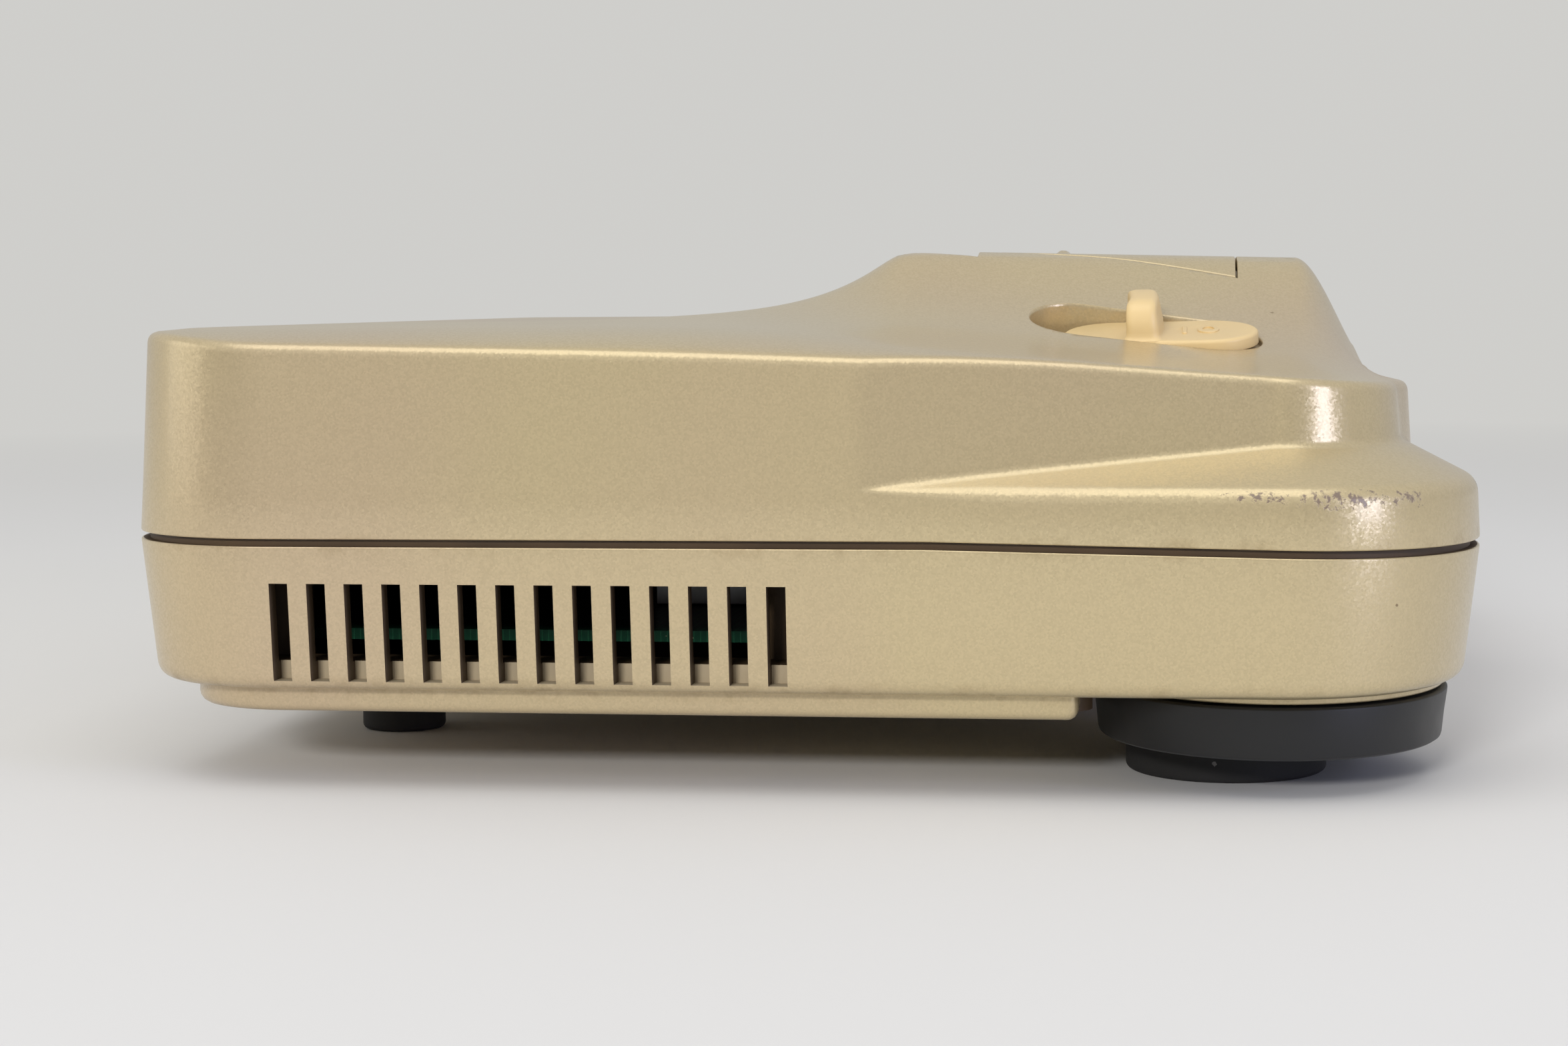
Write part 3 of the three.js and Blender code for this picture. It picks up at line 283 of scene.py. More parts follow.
def brow_x(y):
    """Half width of the hump's flat top at y."""
    t = np.clip((y - HUMP_FRONT_Y) / (HUMP_REAR_Y - HUMP_FRONT_Y), 0, 1)
    return BROW_FRONT + (BROW_REAR - BROW_FRONT) * t


def roof_z(x, y):
    """The deck, level at the rear and falling at the front over side edges that fall all the way, plus
    the hump: a smooth step at its front, an exponential run-out at its rear, and flanks that fall as a
    power of the way across."""
    dip = np.minimum(0, y - SEAM_BEND_Y)
    side = DECK_TOP - DECK_FALL * (REAR - y) - NOSE_DIP * dip * dip
    t = np.clip((y - CROWN_FRONT_Y) / (CROWN_REAR_Y - CROWN_FRONT_Y), 0, 1)
    rise = DECK_CROWN + (DECK_LEVEL - side - DECK_CROWN) * t * t * (3 - 2 * t)
    rise = rise * (1 - np.exp(-np.maximum(0, REAR - y) / CROWN_RUN))
    deck = side + rise * (1 - np.minimum(1, np.abs(x) / HALF_W) ** CROWN_POWER)
    t = np.clip((y - HUMP_FOOT_Y) / (HUMP_FRONT_Y - HUMP_FOOT_Y), 0, 1)
    front = t * t * (3 - 2 * t)
    past = y - HUMP_REAR_Y
    rear = np.exp(-REAR_ROUND * np.logaddexp(0, past / REAR_ROUND) / HUMP_RUN)
    reach = HALF_W - FLANK_MARGIN
    flank = (np.maximum(0, reach - np.abs(x)) / (reach - brow_x(y))) ** FLANK_POWER
    kept = np.exp(-CREST_SHARP) + np.exp(-CREST_SHARP * np.minimum(flank, 4))
    profile = -np.log(kept) / CREST_SHARP
    crest = HUMP_TOP + HUMP_FALL * np.minimum(0, past)
    return deck + (crest - deck) * front * rear * np.maximum(0, profile)


def at_inset(inset):
    """The outline moved inward by inset, a number or one value for each point."""
    return OUTLINE + INWARD * np.broadcast_to(inset, SHELF.shape)[:, None]


def ring(inset, height):
    """One row of points: the outline moved inward by inset, at height, which may be a function of y."""
    p = at_inset(inset)
    z = height(p[:, 1]) if callable(height) else np.broadcast_to(height, SHELF.shape)
    return np.concatenate([p, z[:, None]], 1)


def eased(a, b, c, cut, steps):
    """Rows round the corner b of the path a-b-c of (inset, height) pairs: the quadratic curve
    (1-t)^2 p + 2t(1-t) b + t^2 q, where p and q lie cut away from b."""
    shape = SHELF.shape
    a, b, c = (np.stack([np.broadcast_to(v, shape) for v in q], 1) for q in (a, b, c))
    to_a, to_c = a - b, c - b
    near = np.linalg.norm(to_a, axis=1)[:, None]
    far = np.linalg.norm(to_c, axis=1)[:, None]
    reach = np.minimum(cut, 0.45 * np.minimum(near, far))
    p, q = b + to_a / near * reach, b + to_c / far * reach
    rows = []
    for t in np.linspace(0, 1, steps):
        d = (1 - t) ** 2 * p + 2 * t * (1 - t) * b + t * t * q
        rows.append(ring(d[:, 0], d[:, 1]))
    return rows


def on_roof(p, drop):
    """Plan points raised to the roof less drop."""
    return np.column_stack([p, roof_z(p[:, 0], p[:, 1]) - drop])


def over_hump(edge, flank_rows, top_rows, drop):
    """Rows from an edge row to the middle of the hump, on the roof less drop. Every point runs straight
    to the hump's brow, a trapezium in plan, closing up near it, and then on to the middle."""
    way = edge[:, :2] - HUMP_MIDDLE
    slope = (BROW_REAR - BROW_FRONT) / (HUMP_REAR_Y - HUMP_FRONT_Y)
    sideways = np.maximum(1e-6, np.abs(way[:, 0]) - slope * way[:, 1])
    across = (BROW_FRONT + slope * (HUMP_MIDDLE[1] - HUMP_FRONT_Y)) / sideways
    limit = np.where(way[:, 1] > 0, HUMP_REAR_Y, HUMP_FRONT_Y) - HUMP_MIDDLE[1]
    along = limit / np.where(np.abs(way[:, 1]) < 1e-6, 1e-6, way[:, 1])
    brow = HUMP_MIDDLE + way * np.minimum(across, np.where(along > 0, along, 1e9))[:, None]
    rows = []
    for k in range(1, flank_rows + 1):
        s = 1 - (1 - k / flank_rows) ** 1.35
        rows.append(on_roof(edge[:, :2] + (brow - edge[:, :2]) * s, drop))
    for k in range(1, top_rows):
        rows.append(on_roof(brow + (HUMP_MIDDLE - brow) * (k / top_rows), drop))
    return rows


def skin(name, rows, bands=None, paints=(), first_pole=None, last_pole=None):
    """A closed surface through rows of equal point count. Each band of faces joins two rows, a fan
    closes either end, and bands gives each band's material number, the two fans included."""
    rows = np.asarray(rows, float)
    count, width = rows.shape[:2]
    start = rows[0].mean(0) if first_pole is None else first_pole
    end = rows[-1].mean(0) if last_pole is None else last_pole
    poles = np.array([start, end])
    points = np.concatenate([rows.reshape(-1, 3), poles]) * MM
    r, c = np.meshgrid(np.arange(count - 1), np.arange(width), indexing="ij")
    a, b = r * width + c, r * width + (c + 1) % width
    quads = np.stack([a, b, b + width, a + width], -1).reshape(-1, 4)
    k = np.arange(width)
    low = np.stack([np.full(width, count * width), (k + 1) % width, k], 1)
    last = (count - 1) * width
    high = np.stack([last + k, last + (k + 1) % width, np.full(width, count * width + 1)], 1)
    mesh = bpy.data.meshes.new(name)
    mesh.from_pydata(points.tolist(), [], low.tolist() + quads.tolist() + high.tolist())
    for paint in paints:
        mesh.materials.append(paint)
    if bands is not None:
        mesh.polygons.foreach_set("material_index", np.repeat(np.int32(bands), width))
    made = bpy.data.objects.new(name, mesh)
    scene.collection.objects.link(made)
    return made


def combine(target, tool, operation="DIFFERENCE"):
    """Cuts the tool from the target, or joins it on, and removes the tool."""
    change = target.modifiers.new("combine", "BOOLEAN")
    change.object = tool
    change.operation = operation
    change.solver = "MANIFOLD"
    change.material_mode = "TRANSFER"
    view = bpy.context.evaluated_depsgraph_get()
    shaped = bpy.data.meshes.new_from_object(target.evaluated_get(view))
    target.modifiers.remove(change)
    used, target.data = target.data, shaped
    bpy.data.meshes.remove(used)
    bpy.data.objects.remove(tool)
    return target


def smooth(piece, degrees=32):
    """Soft shading, with edges sharper than the angle kept crisp."""
    piece.data.polygons.foreach_set("use_smooth", np.ones(len(piece.data.polygons), bool))
    piece.data.set_sharp_from_angle(angle=math.radians(degrees))
    piece.data.update()


def finish_piece(piece, body, slot, *replaced, degrees=32):
    """Shades the piece, sets the body it rides on and hides the CAD nodes it stands for. The slot is
    not used.
    """
    smooth(piece, degrees)
    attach(piece, body)
    if replaced:
        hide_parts(*replaced)
    return piece


def rectangle(x0, x1, y0, y1, corner=0.0, steps=6):
    """A plan rectangle with round corners, anticlockwise, as an array of x, y."""
    if corner <= 0:
        return np.array([(x1, y1), (x0, y1), (x0, y0), (x1, y0)], float)
    a = np.linspace(0, np.pi / 2, steps)
    arcs = []
    for turn, cx, cy in ((0, x1, y1), (1, x0, y1), (2, x0, y0), (3, x1, y0)):
        inx, iny = (-1 if cx == x1 else 1), (-1 if cy == y1 else 1)
        b = a + turn * np.pi / 2
        x, y = cx + inx * corner, cy + iny * corner
        arcs.append(np.stack([x + corner * np.cos(b), y + corner * np.sin(b)], 1))
    return np.concatenate(arcs)


def ellipse(x, y, rx, ry, count=64):
    """A plan ellipse, anticlockwise."""
    a = np.linspace(0, 2 * np.pi, count, endpoint=False)
    return np.stack([x + rx * np.cos(a), y + ry * np.sin(a)], 1)


def placed(piece, place):
    """Moves a piece's mesh by a matrix whose shift is in mm."""
    piece.data.transform(Matrix.Scale(MM, 4) @ place @ Matrix.Scale(1 / MM, 4))
    return piece


def carried(name, plan, steps, paint, place=None):
    """A plan outline carried up through steps of (outset, height): each row is the outline moved
    outward along its own normals. A matrix may place it."""
    before, after = np.roll(plan, 1, 0), np.roll(plan, -1, 0)
    e0, e1 = plan - before, after - plan
    n0 = np.stack([e0[:, 1], -e0[:, 0]], 1) / np.linalg.norm(e0, axis=1)[:, None]
    n1 = np.stack([e1[:, 1], -e1[:, 0]], 1) / np.linalg.norm(e1, axis=1)[:, None]
    out = (n0 + n1) / (1 + (n0 * n1).sum(1))[:, None]
    rows = [np.column_stack([plan + out * d, np.full(len(plan), z)]) for d, z in steps]
    made = skin(name, rows, None, (paint,))
    return made if place is None else placed(made, place)


def cut(target, *shape):
    """Cuts a carried outline from the target."""
    combine(target, carried(*shape))


def join(target, *shape):
    """Joins a carried outline on to the target."""
    combine(target, carried(*shape), "UNION")


def rounded(low, high, r_low, r_high, steps=5):
    """Steps of (outset, height) from low to high with quarter-circle edges of those radii."""
    a = np.linspace(0, np.pi / 2, steps)
    under = [(-r_low * (1 - math.sin(t)), low + r_low * (1 - math.cos(t))) for t in a]
    over = [(-r_high * (1 - math.cos(t)), high - r_high * (1 - math.sin(t))) for t in a]
    return (under if r_low else [(0, low)]) + (over if r_high else [(0, high)])


# ---------------------------------------------------------------- case paint
# The shells are moulded in a beige plastic and sprayed outside with a champagne metallic paint:
# fine flake under a satin face, a few specks of dirt, and a darker cloudy band along the seam and
# the lower edge. The bare plastic inside is drawn much darker than beige, as painted shade.


def new_group(name, ins, outs):
    """An empty shader node group with named float, vector or colour sockets."""
    group = bpy.data.node_groups.new(name, "ShaderNodeTree")
    for label, kind, value in ins:
        socket = group.interface.new_socket(name=label, in_out="INPUT", socket_type=kind)
        if value is not None:
            socket.default_value = value
    for label, kind in outs:
        group.interface.new_socket(name=label, in_out="OUTPUT", socket_type=kind)
    return group, group.nodes.new("NodeGroupInput").outputs, group.nodes.new("NodeGroupOutput").inputs


def use_group(tree, group, **values):
    """The outputs of a copy of the group, with its inputs set by name."""
    made = tree.nodes.new("ShaderNodeGroup")
    made.node_tree = group
    for key, value in values.items():
        feed(tree, made.inputs[key], value)
    return made.outputs


FLOAT, VECTOR = "NodeSocketFloat", "NodeSocketVector"

# Flake: every small cell has a tone and leans its own way
flake_group, gi, go = new_group(
    "flake", [("Vector", VECTOR, None), ("Cells", FLOAT, 3000.0), ("Lean", FLOAT, 0.1)],
    [("Tone", FLOAT), ("Normal", VECTOR)],
)
cells = node(flake_group, "ShaderNodeTexVoronoi", Vector=gi["Vector"], Scale=gi["Cells"])
cells = cells.outputs["Color"]
centred = vector_of(flake_group, "SUBTRACT", cells, (0.5, 0.5, 0.5))
leaned = node(flake_group, "ShaderNodeVectorMath", "SCALE", i0=centred, Scale=gi["Lean"])
face = node(flake_group, "ShaderNodeNewGeometry").outputs["Normal"]
tilted = vector_of(flake_group, "ADD", face, leaned.outputs[0])
tilted = node(flake_group, "ShaderNodeVectorMath", "NORMALIZE", i0=tilted)
feed(flake_group, go["Normal"], tilted.outputs[0])
feed(flake_group, go["Tone"], node(flake_group, "ShaderNodeSeparateColor", Color=cells).outputs[0])

# Specks: a ragged dot in a share of the cells of a coarse grid
RAGGED = 0.0006
speck_group, gi, go = new_group(
    "specks",
    [("Vector", VECTOR, None), ("Grid", FLOAT, 100.0), ("Share", FLOAT, 0.1), ("Size", FLOAT, 0.1)],
    [("Mask", FLOAT)],
)
ragged = node(speck_group, "ShaderNodeTexNoise", Vector=gi["Vector"], Scale=1500.0, Detail=2.0)
ragged = vector_of(
    speck_group, "MULTIPLY_ADD", ragged.outputs["Color"], (RAGGED,) * 3, gi["Vector"]
)
dots = node(speck_group, "ShaderNodeTexVoronoi", Vector=ragged, Scale=gi["Grid"])
parts = node(speck_group, "ShaderNodeSeparateColor", Color=dots.outputs["Color"]).outputs
chosen = sum_of(speck_group, "LESS_THAN", parts[0], gi["Share"])
radius = sum_of(speck_group, "MULTIPLY", gi["Size"], parts[1])
inside = sum_of(speck_group, "SUBTRACT", radius, dots.outputs["Distance"])
inside = spread(speck_group, inside, 0.0, 0.02)
speck_group.links.new(sum_of(speck_group, "MULTIPLY", chosen, inside), go["Mask"])

# Dark band: a cloudy band that is strongest at one height and fades over a width
dark_band_group, gi, go = new_group(
    "dark_band",
    [
        ("Vector", VECTOR, None), ("Level", FLOAT, 0.0),
        ("Width", FLOAT, 0.002), ("Clouds", FLOAT, 150.0),
    ],
    [("Mask", FLOAT)],
)
height = node(dark_band_group, "ShaderNodeSeparateXYZ", Vector=gi["Vector"]).outputs["Z"]
above = sum_of(dark_band_group, "SUBTRACT", height, gi["Level"])
away = node(dark_band_group, "ShaderNodeMath", "ABSOLUTE", i0=above).outputs[0]
near = node(dark_band_group, "ShaderNodeMapRange", Value=away, From_Min=gi["Width"], From_Max=0.0)
near = near.outputs[0]
cloud = noise(dark_band_group, gi["Vector"], gi["Clouds"], 5.0, Roughness=0.7)
cloud = spread(dark_band_group, cloud, 0.5, 0.72)
dark_band_group.links.new(sum_of(dark_band_group, "MULTIPLY", near, cloud), go["Mask"])

PAINT_METAL = 0.5
PAINT_WARM = (0.56, 0.46, 0.268, 1)
PAINT_ROSE = (0.54, 0.425, 0.272, 1)
SPECK_TONE = (0.16, 0.10, 0.045, 1)
DARK_BAND_TONE = (0.30, 0.21, 0.10, 1)
SCUFF_TONE = (0.20, 0.15, 0.11, 1)
PAINT_ROUGH = 0.30


def add_bump(tree, shader, strength, distance, height, **normal):
    """Feeds a bump to the shader; the distance is in metres."""
    bump = node(
        tree, "ShaderNodeBump", Strength=strength, Distance=distance, Height=height, **normal
    )
    feed(tree, shader.inputs["Normal"], bump.outputs[0])


def case_paint(name, scuffs=()):
    """Champagne metallic paint. Scuffs are (centre, half size) boxes, in mm, in which the paint has
    been rubbed through to the duller plastic below, in ragged patches."""
    made, tree, shader = material(name, metallic=PAINT_METAL)
    shader.inputs["Coat Weight"].default_value = 0.3
    shader.inputs["Coat Roughness"].default_value = 0.12
    spot = node(tree, "ShaderNodeTexCoord").outputs["Object"]
    drift = noise(tree, spot, 11.0, 2.0)
    tone = blend_colour(tree, spread(tree, drift, 0.40, 0.62), PAINT_WARM, PAINT_ROSE)
    flake = use_group(tree, flake_group, Vector=spot, Cells=3600.0, Lean=0.10)
    bright = spread(tree, flake["Tone"], 0.0, 1.0, 0.94, 1.06)
    colour = node(tree, "ShaderNodeVectorMath", "SCALE", i0=tone, Scale=bright).outputs[0]
    specks = use_group(tree, speck_group, Vector=spot, Grid=95.0, Share=0.10, Size=0.075)["Mask"]
    fine = use_group(tree, speck_group, Vector=spot, Grid=260.0, Share=0.05, Size=0.11)["Mask"]
    dirt = sum_of(tree, "MAXIMUM", specks, fine)
    # Darker cloudy bands at the height of the lower edge and at the seam
    low = use_group(tree, dark_band_group, Vector=spot, Level=0.0142, Width=0.0022, Clouds=230.0)["Mask"]
    seam = use_group(tree, dark_band_group, Vector=spot, Level=0.0342, Width=0.0020, Clouds=160.0)["Mask"]
    lines = sum_of(tree, "MULTIPLY", sum_of(tree, "MAXIMUM", low, seam), 0.55)
    colour = blend_colour(tree, lines, colour, DARK_BAND_TONE)
    colour = blend_colour(tree, sum_of(tree, "MULTIPLY", dirt, 0.75), colour, SPECK_TONE)
    rubbed = None
    for centre, half in scuffs:
        offset = vector_of(tree, "SUBTRACT", spot, tuple(MM * v for v in centre))
        scaled = vector_of(tree, "DIVIDE", offset, tuple(MM * v for v in half))
        reach = node(tree, "ShaderNodeVectorMath", "LENGTH", i0=scaled).outputs["Value"]
        inside = spread(tree, reach, 1.0, 0.35)
        torn = noise(tree, spot, 900.0, 5.0, Roughness=0.7)
        eaten = sum_of(tree, "ADD", torn, sum_of(tree, "MULTIPLY", inside, 0.13))
        patch = spread(tree, eaten, 0.57, 0.66)
        patch = sum_of(tree, "MULTIPLY", patch, sum_of(tree, "GREATER_THAN", inside, 0.02))
        rubbed = patch if rubbed is None else sum_of(tree, "MAXIMUM", rubbed, patch)
    rough = spread(tree, drift, 0.3, 0.7, PAINT_ROUGH - 0.02, PAINT_ROUGH + 0.03)
    specks_and_bands = sum_of(tree, "MAXIMUM", dirt, lines)
    rough = sum_of(tree, "ADD", rough, sum_of(tree, "MULTIPLY", specks_and_bands, 0.3))
    if rubbed is not None:
        colour = blend_colour(tree, rubbed, colour, SCUFF_TONE)
        rough = sum_of(tree, "ADD", rough, sum_of(tree, "MULTIPLY", rubbed, 0.12))
        tree.links.new(spread(tree, rubbed, 0, 1, PAINT_METAL, 0.1), shader.inputs["Metallic"])
    tree.links.new(colour, shader.inputs["Base Color"])
    tree.links.new(rough, shader.inputs["Roughness"])
    peel = noise(tree, spot, 900.0, 2.0)
    relief = sum_of(tree, "SUBTRACT", peel, sum_of(tree, "MULTIPLY", dirt, -0.6))
    if rubbed is not None:
        relief = sum_of(tree, "SUBTRACT", relief, sum_of(tree, "MULTIPLY", rubbed, 2.0))
    add_bump(tree, shader, 0.35, 0.00003, relief, Normal=flake["Normal"])
    return made


def moulded(name, colour, roughness, grain=2500.0, depth=0.00003, drift=0.12, dust=0.0):
    """Moulded plastic: a spark-eroded grain, slow changes of tone, and pale dust where asked."""
    made, tree, shader = material(name)
    spot = node(tree, "ShaderNodeTexCoord").outputs["Object"]
    slow = noise(tree, spot, 60.0, 4.0, Roughness=0.6)
    dark = tuple(c * (1 - drift) for c in colour) + (1,)
    light = tuple(min(1, c * (1 + drift)) for c in colour) + (1,)
    tone = blend_colour(tree, spread(tree, slow, 0.3, 0.7), dark, light)
    if dust:
        specks = use_group(tree, speck_group, Vector=spot, Grid=330.0, Share=0.16, Size=0.12)["Mask"]
        tone = blend_colour(
            tree, sum_of(tree, "MULTIPLY", specks, dust), tone, (0.55, 0.53, 0.49, 1)
        )
    tree.links.new(tone, shader.inputs["Base Color"])
    rough = spread(tree, slow, 0.3, 0.7, roughness - 0.05, roughness + 0.07)
    feed(tree, shader.inputs["Roughness"], rough)
    pits = noise(tree, spot, grain, 3.0)
    add_bump(tree, shader, 0.6, depth, pits)
    return made


SCUFFS = [
    ((-126.5, -73.0, 40.6), (6.0, 8.0, 1.5)),
    ((-120.5, -81.0, 40.2), (5.0, 5.0, 1.6)),
    ((-129.0, -63.0, 41.0), (4.0, 5.0, 0.8)),
    ((-98.0, -94.5, 40.8), (2.0, 2.0, 1.4)),
]
upper_paint = case_paint("champagne_upper", SCUFFS)
case_coat = case_paint("champagne_paint")
# The bare plastic inside is dark brown and is drawn darker still, as painted shade in the seam gap, the
# vents, the slot and the other hollows
shade_darkened_plastic = moulded("bare_plastic_darkened_as_shade", (0.085, 0.055, 0.03), 0.6, grain=1400.0, drift=0.2)
sprayed_edge = moulded("oversprayed_plastic", (0.44, 0.36, 0.24), 0.55, grain=1600.0, drift=0.15)

# ---------------------------------------------------------------- upper case shell
# The upper half of the case: one thin moulding with a rabbet round its rim, the hump, a well for
# the cartridge slot, a bay under the memory door and pockets for the two controls.
WALL = 2.7
RABBET_IN, RABBET_TOP = 1.0, 3.8
EDGE_CUT, SHOULDER_CUT, FOOT_CUT, RIM_CUT = 3.3, 1.9, 0.9, 0.35
SHOULDER_AT, SHELF_FALL = 0.4, 1.2
FOOT_IN = SHOULDER_AT + SHOULDER_STEP * TOP_DRAFT


def roof_edge(extra, drop):
    """Inset and height at which the drafted upper wall would meet the roof, found by four rounds of
    putting each value into the other."""
    height = np.full(SHELF.shape, 58.0)
    for _ in range(4):
        inset = extra + FOOT_IN + SHELF + (height - SHOULDER_Z) * TOP_DRAFT
        p = at_inset(inset)
        height = roof_z(p[:, 0], p[:, 1]) - drop
    return inset, height


def upper_rows():
    """Rows over the inside of the shell, round its rim, up the outside and over the hump."""
    d_in, z_in = roof_edge(WALL, WALL)
    rim_y = OUTLINE[:, 1]
    ledge = seam_z(rim_y) + RABBET_TOP
    reveal = seam_z(rim_y) + SEAM_REVEAL
    shelf_z = SHOULDER_Z + SHOULDER_STEP + SHOULDER_RISE * SHELF / SHOULDER_IN
    inside = [ring(d_in, z_in)]
    over = over_hump(inside[0], 22, 6, WALL)[::-1]
    inside += [
        ring(WALL + FOOT_IN + SHELF, shelf_z - SHELF_FALL),
        ring(WALL + SHOULDER_AT, SHOULDER_Z - SHELF_FALL),
        ring(WALL, ledge), ring(RABBET_IN, ledge), ring(RABBET_IN, reveal),
    ]
    d_up, z_up = roof_edge(0, 0)
    foot = (FOOT_IN + SHELF, shelf_z)
    corner = (d_up, z_up)
    p = at_inset(d_up + EDGE_CUT)
    beyond = (d_up + EDGE_CUT, roof_z(p[:, 0], p[:, 1]))
    bend = (SHOULDER_AT, SHOULDER_Z)
    rim = eased((RABBET_IN, reveal), (0, reveal), bend, RIM_CUT, 4)
    shoulder = eased((0, reveal), bend, foot, SHOULDER_CUT, 8)
    instep = eased(bend, foot, corner, FOOT_CUT, 5)
    brow = eased(foot, corner, beyond, EDGE_CUT, 9)
    brow[-1][:, 2] = roof_z(brow[-1][:, 0], brow[-1][:, 1])
    outside = rim + shoulder + instep + brow
    roof = over_hump(outside[-1], 46, 14, 0)
    rows = over + inside + outside + roof
    bands = [1] * (len(over) + len(inside) + 1) + [0] * (len(outside) + len(roof))
    top = float(roof_z(*HUMP_MIDDLE))
    return rows, bands, (*HUMP_MIDDLE, top - WALL), (*HUMP_MIDDLE, top)


rows, bands, inner_pole, outer_pole = upper_rows()
upper_case = skin("upper_case", rows, bands, (upper_paint, shade_darkened_plastic), inner_pole, outer_pole)

SLOT_X, SLOT_Y0, SLOT_Y1 = 59.5, -22.05, -2.55
WELL_WALL, WELL_LOW = 1.7, 44.0
DOOR_X, DOOR_Y0, DOOR_Y1, DOOR_T = 53.0, -61.6, -25.3, 2.0
BAY_X, BAY_Y0, BAY_Y1, BAY_LOW = 33.0, -57.6, -29.3, 40.0
ABOVE = 90.0
GAP = 0.3


def column(name, plan, low, high, paint, lips=(), rows=14):
    """A closed column on a plan outline: floor low(x, y) and roof high(x, y), each filled by rows
    that shrink to the middle. Lips are (outset, depth under the roof surface) rows on its wall."""
    middle = plan.mean(0)

    def level(outset, height):
        p = middle + (plan - middle) * (1 + outset / np.abs(plan - middle).max(1)[:, None])
        return np.column_stack([p, height(p[:, 0], p[:, 1])])

    def filling(height):
        shrunk = [middle + (plan - middle) * (k / rows) for k in range(1, rows)]
        return [np.column_stack([p, height(p[:, 0], p[:, 1])]) for p in shrunk]

    wall = [level(0, low)]
    wall += [level(out, below_roof(deep)) for out, deep in lips]
    wall.append(level(lips[-1][0] if lips else 0, high))
    floor, roof = filling(low), filling(high)[::-1]
    ends = [(*middle, float(f(*middle))) for f in (low, high)]
    return skin(name, floor + wall + roof, None, (paint,), *ends)


def long_plan(x, y0, y1, across=40, deep=12):
    """A rectangle about the middle line with many points on each side, anticlockwise."""
    xs, ys = np.linspace(-x, x, across), np.linspace(y0, y1, deep)
    return np.concatenate([
        np.stack([xs[:-1], 0 * xs[:-1] + y0], 1), np.stack([0 * ys[:-1] + x, ys[:-1]], 1),
        np.stack([xs[::-1][:-1], 0 * xs[:-1] + y1], 1), np.stack([0 * ys[:-1] - x, ys[::-1][:-1]], 1),
    ])


def flat(height):
    """A level surface."""
    return lambda x, y: height + 0 * x


def below_roof(drop):
    """A surface that lies drop under the roof."""
    return lambda x, y: roof_z(x, y) - drop


LIPS = [(0, 0.35), (0.04, 0.19), (0.12, 0.07), (0.3, 0.0), (0.4, -0.05)]
SHARP_LIPS = [(0, 0.12), (0.03, 0.05), (0.12, 0.0), (0.2, -0.05)]
INTO_ROOF = 1.1
well_plan = long_plan(SLOT_X + WELL_WALL, SLOT_Y0 - WELL_WALL, SLOT_Y1 + WELL_WALL)
bay_plan = long_plan(BAY_X + WELL_WALL, BAY_Y0 - WELL_WALL, BAY_Y1 + WELL_WALL)
for name, plan, low in (("well", well_plan, WELL_LOW), ("bay", bay_plan, BAY_LOW)):
    inner = column(name, plan, flat(low), below_roof(INTO_ROOF), shade_darkened_plastic)
    combine(upper_case, inner, "UNION")

# The pockets stand in a frame that leans with the flank of the hump
KNOB_X, KNOB_Y = 77.5, -50.3
KNOB_ROLL, KNOB_PITCH = math.radians(11), math.radians(-1)
PLATE_L, PLATE_W, PLATE_T = 28.6, 15.0, 2.0
SLIDE_TRAVEL, SLIP, RESET_TRAVEL = 4.4, 0.4, 1.8
CUP_WALL, CUP_FLOOR = 1.5, 1.6
STEM_HOLE = (2.9, 4.4)


def knob_frame(side, x=0.0, y=0.0, z=0.0):
    """From the control's own frame, with its face at height 0, to the console's, in mm."""
    stand = Matrix.Translation((side * KNOB_X, KNOB_Y, float(roof_z(KNOB_X, KNOB_Y))))
    lean = Matrix.Rotation(side * KNOB_ROLL, 4, "Y") @ Matrix.Rotation(KNOB_PITCH, 4, "X")
    return stand @ lean @ Matrix.Translation((x, y, z))


def stadium(length, width, count=20):
    """A plan outline with straight sides along Y and round ends, anticlockwise."""
    r = width / 2
    a = np.linspace(0, np.pi, count)
    far = np.stack([r * np.cos(a), length / 2 - r + r * np.sin(a)], 1)
    return np.concatenate([far, -far])


def leaning(name, length, width, low, steps, place, paint):
    """A slot-shaped plug in a leaning frame: a flat floor at low, the first outset out, then rows of
    (outset, height above the roof of the case), so that its rim follows the roof."""
    turn = np.array(place)
    rows = []
    for out, height in [(steps[0][0], None)] + steps:
        plan = stadium(length + 2 * out, width + 2 * out)
        at = np.column_stack([plan, np.zeros(len(plan)), np.ones(len(plan))]) @ turn.T
        above = (roof_z(at[:, 0], at[:, 1]) - at[:, 2]) * turn[2, 2]
        level = 0 * above + low if height is None else above + height
        rows.append(np.column_stack([plan, level]))
    return placed(skin(name, rows, None, (paint,)), place)


for side in (-1, 1):
    travel = SLIDE_TRAVEL if side < 0 else 0
    deep = PLATE_T + SLIP + (SLIP if side < 0 else RESET_TRAVEL)
    size = (PLATE_L + travel + 2 * SLIP, PLATE_W + 2 * SLIP)
    place = knob_frame(side, 0, travel / 2)
    cup = leaning("cup", *size, -deep - CUP_FLOOR, [(CUP_WALL, -0.9)], place, shade_darkened_plastic)
    combine(upper_case, cup, "UNION")
    steps = [(0, -0.6), (0.06, -0.3), (0.22, -0.08), (0.55, 0.06), (0.75, 0.2), (0.75, 6)]
    combine(upper_case, leaning("pocket", *size, -deep, steps, place, upper_paint))
    stem_y = STEM_HOLE[1] + travel / 2
    stem_hole = rectangle(-STEM_HOLE[0], STEM_HOLE[0], -stem_y, stem_y, 0.5)
    cut(upper_case, "stem_hole", stem_hole, [(0, -12), (0, 1)], shade_darkened_plastic, place)

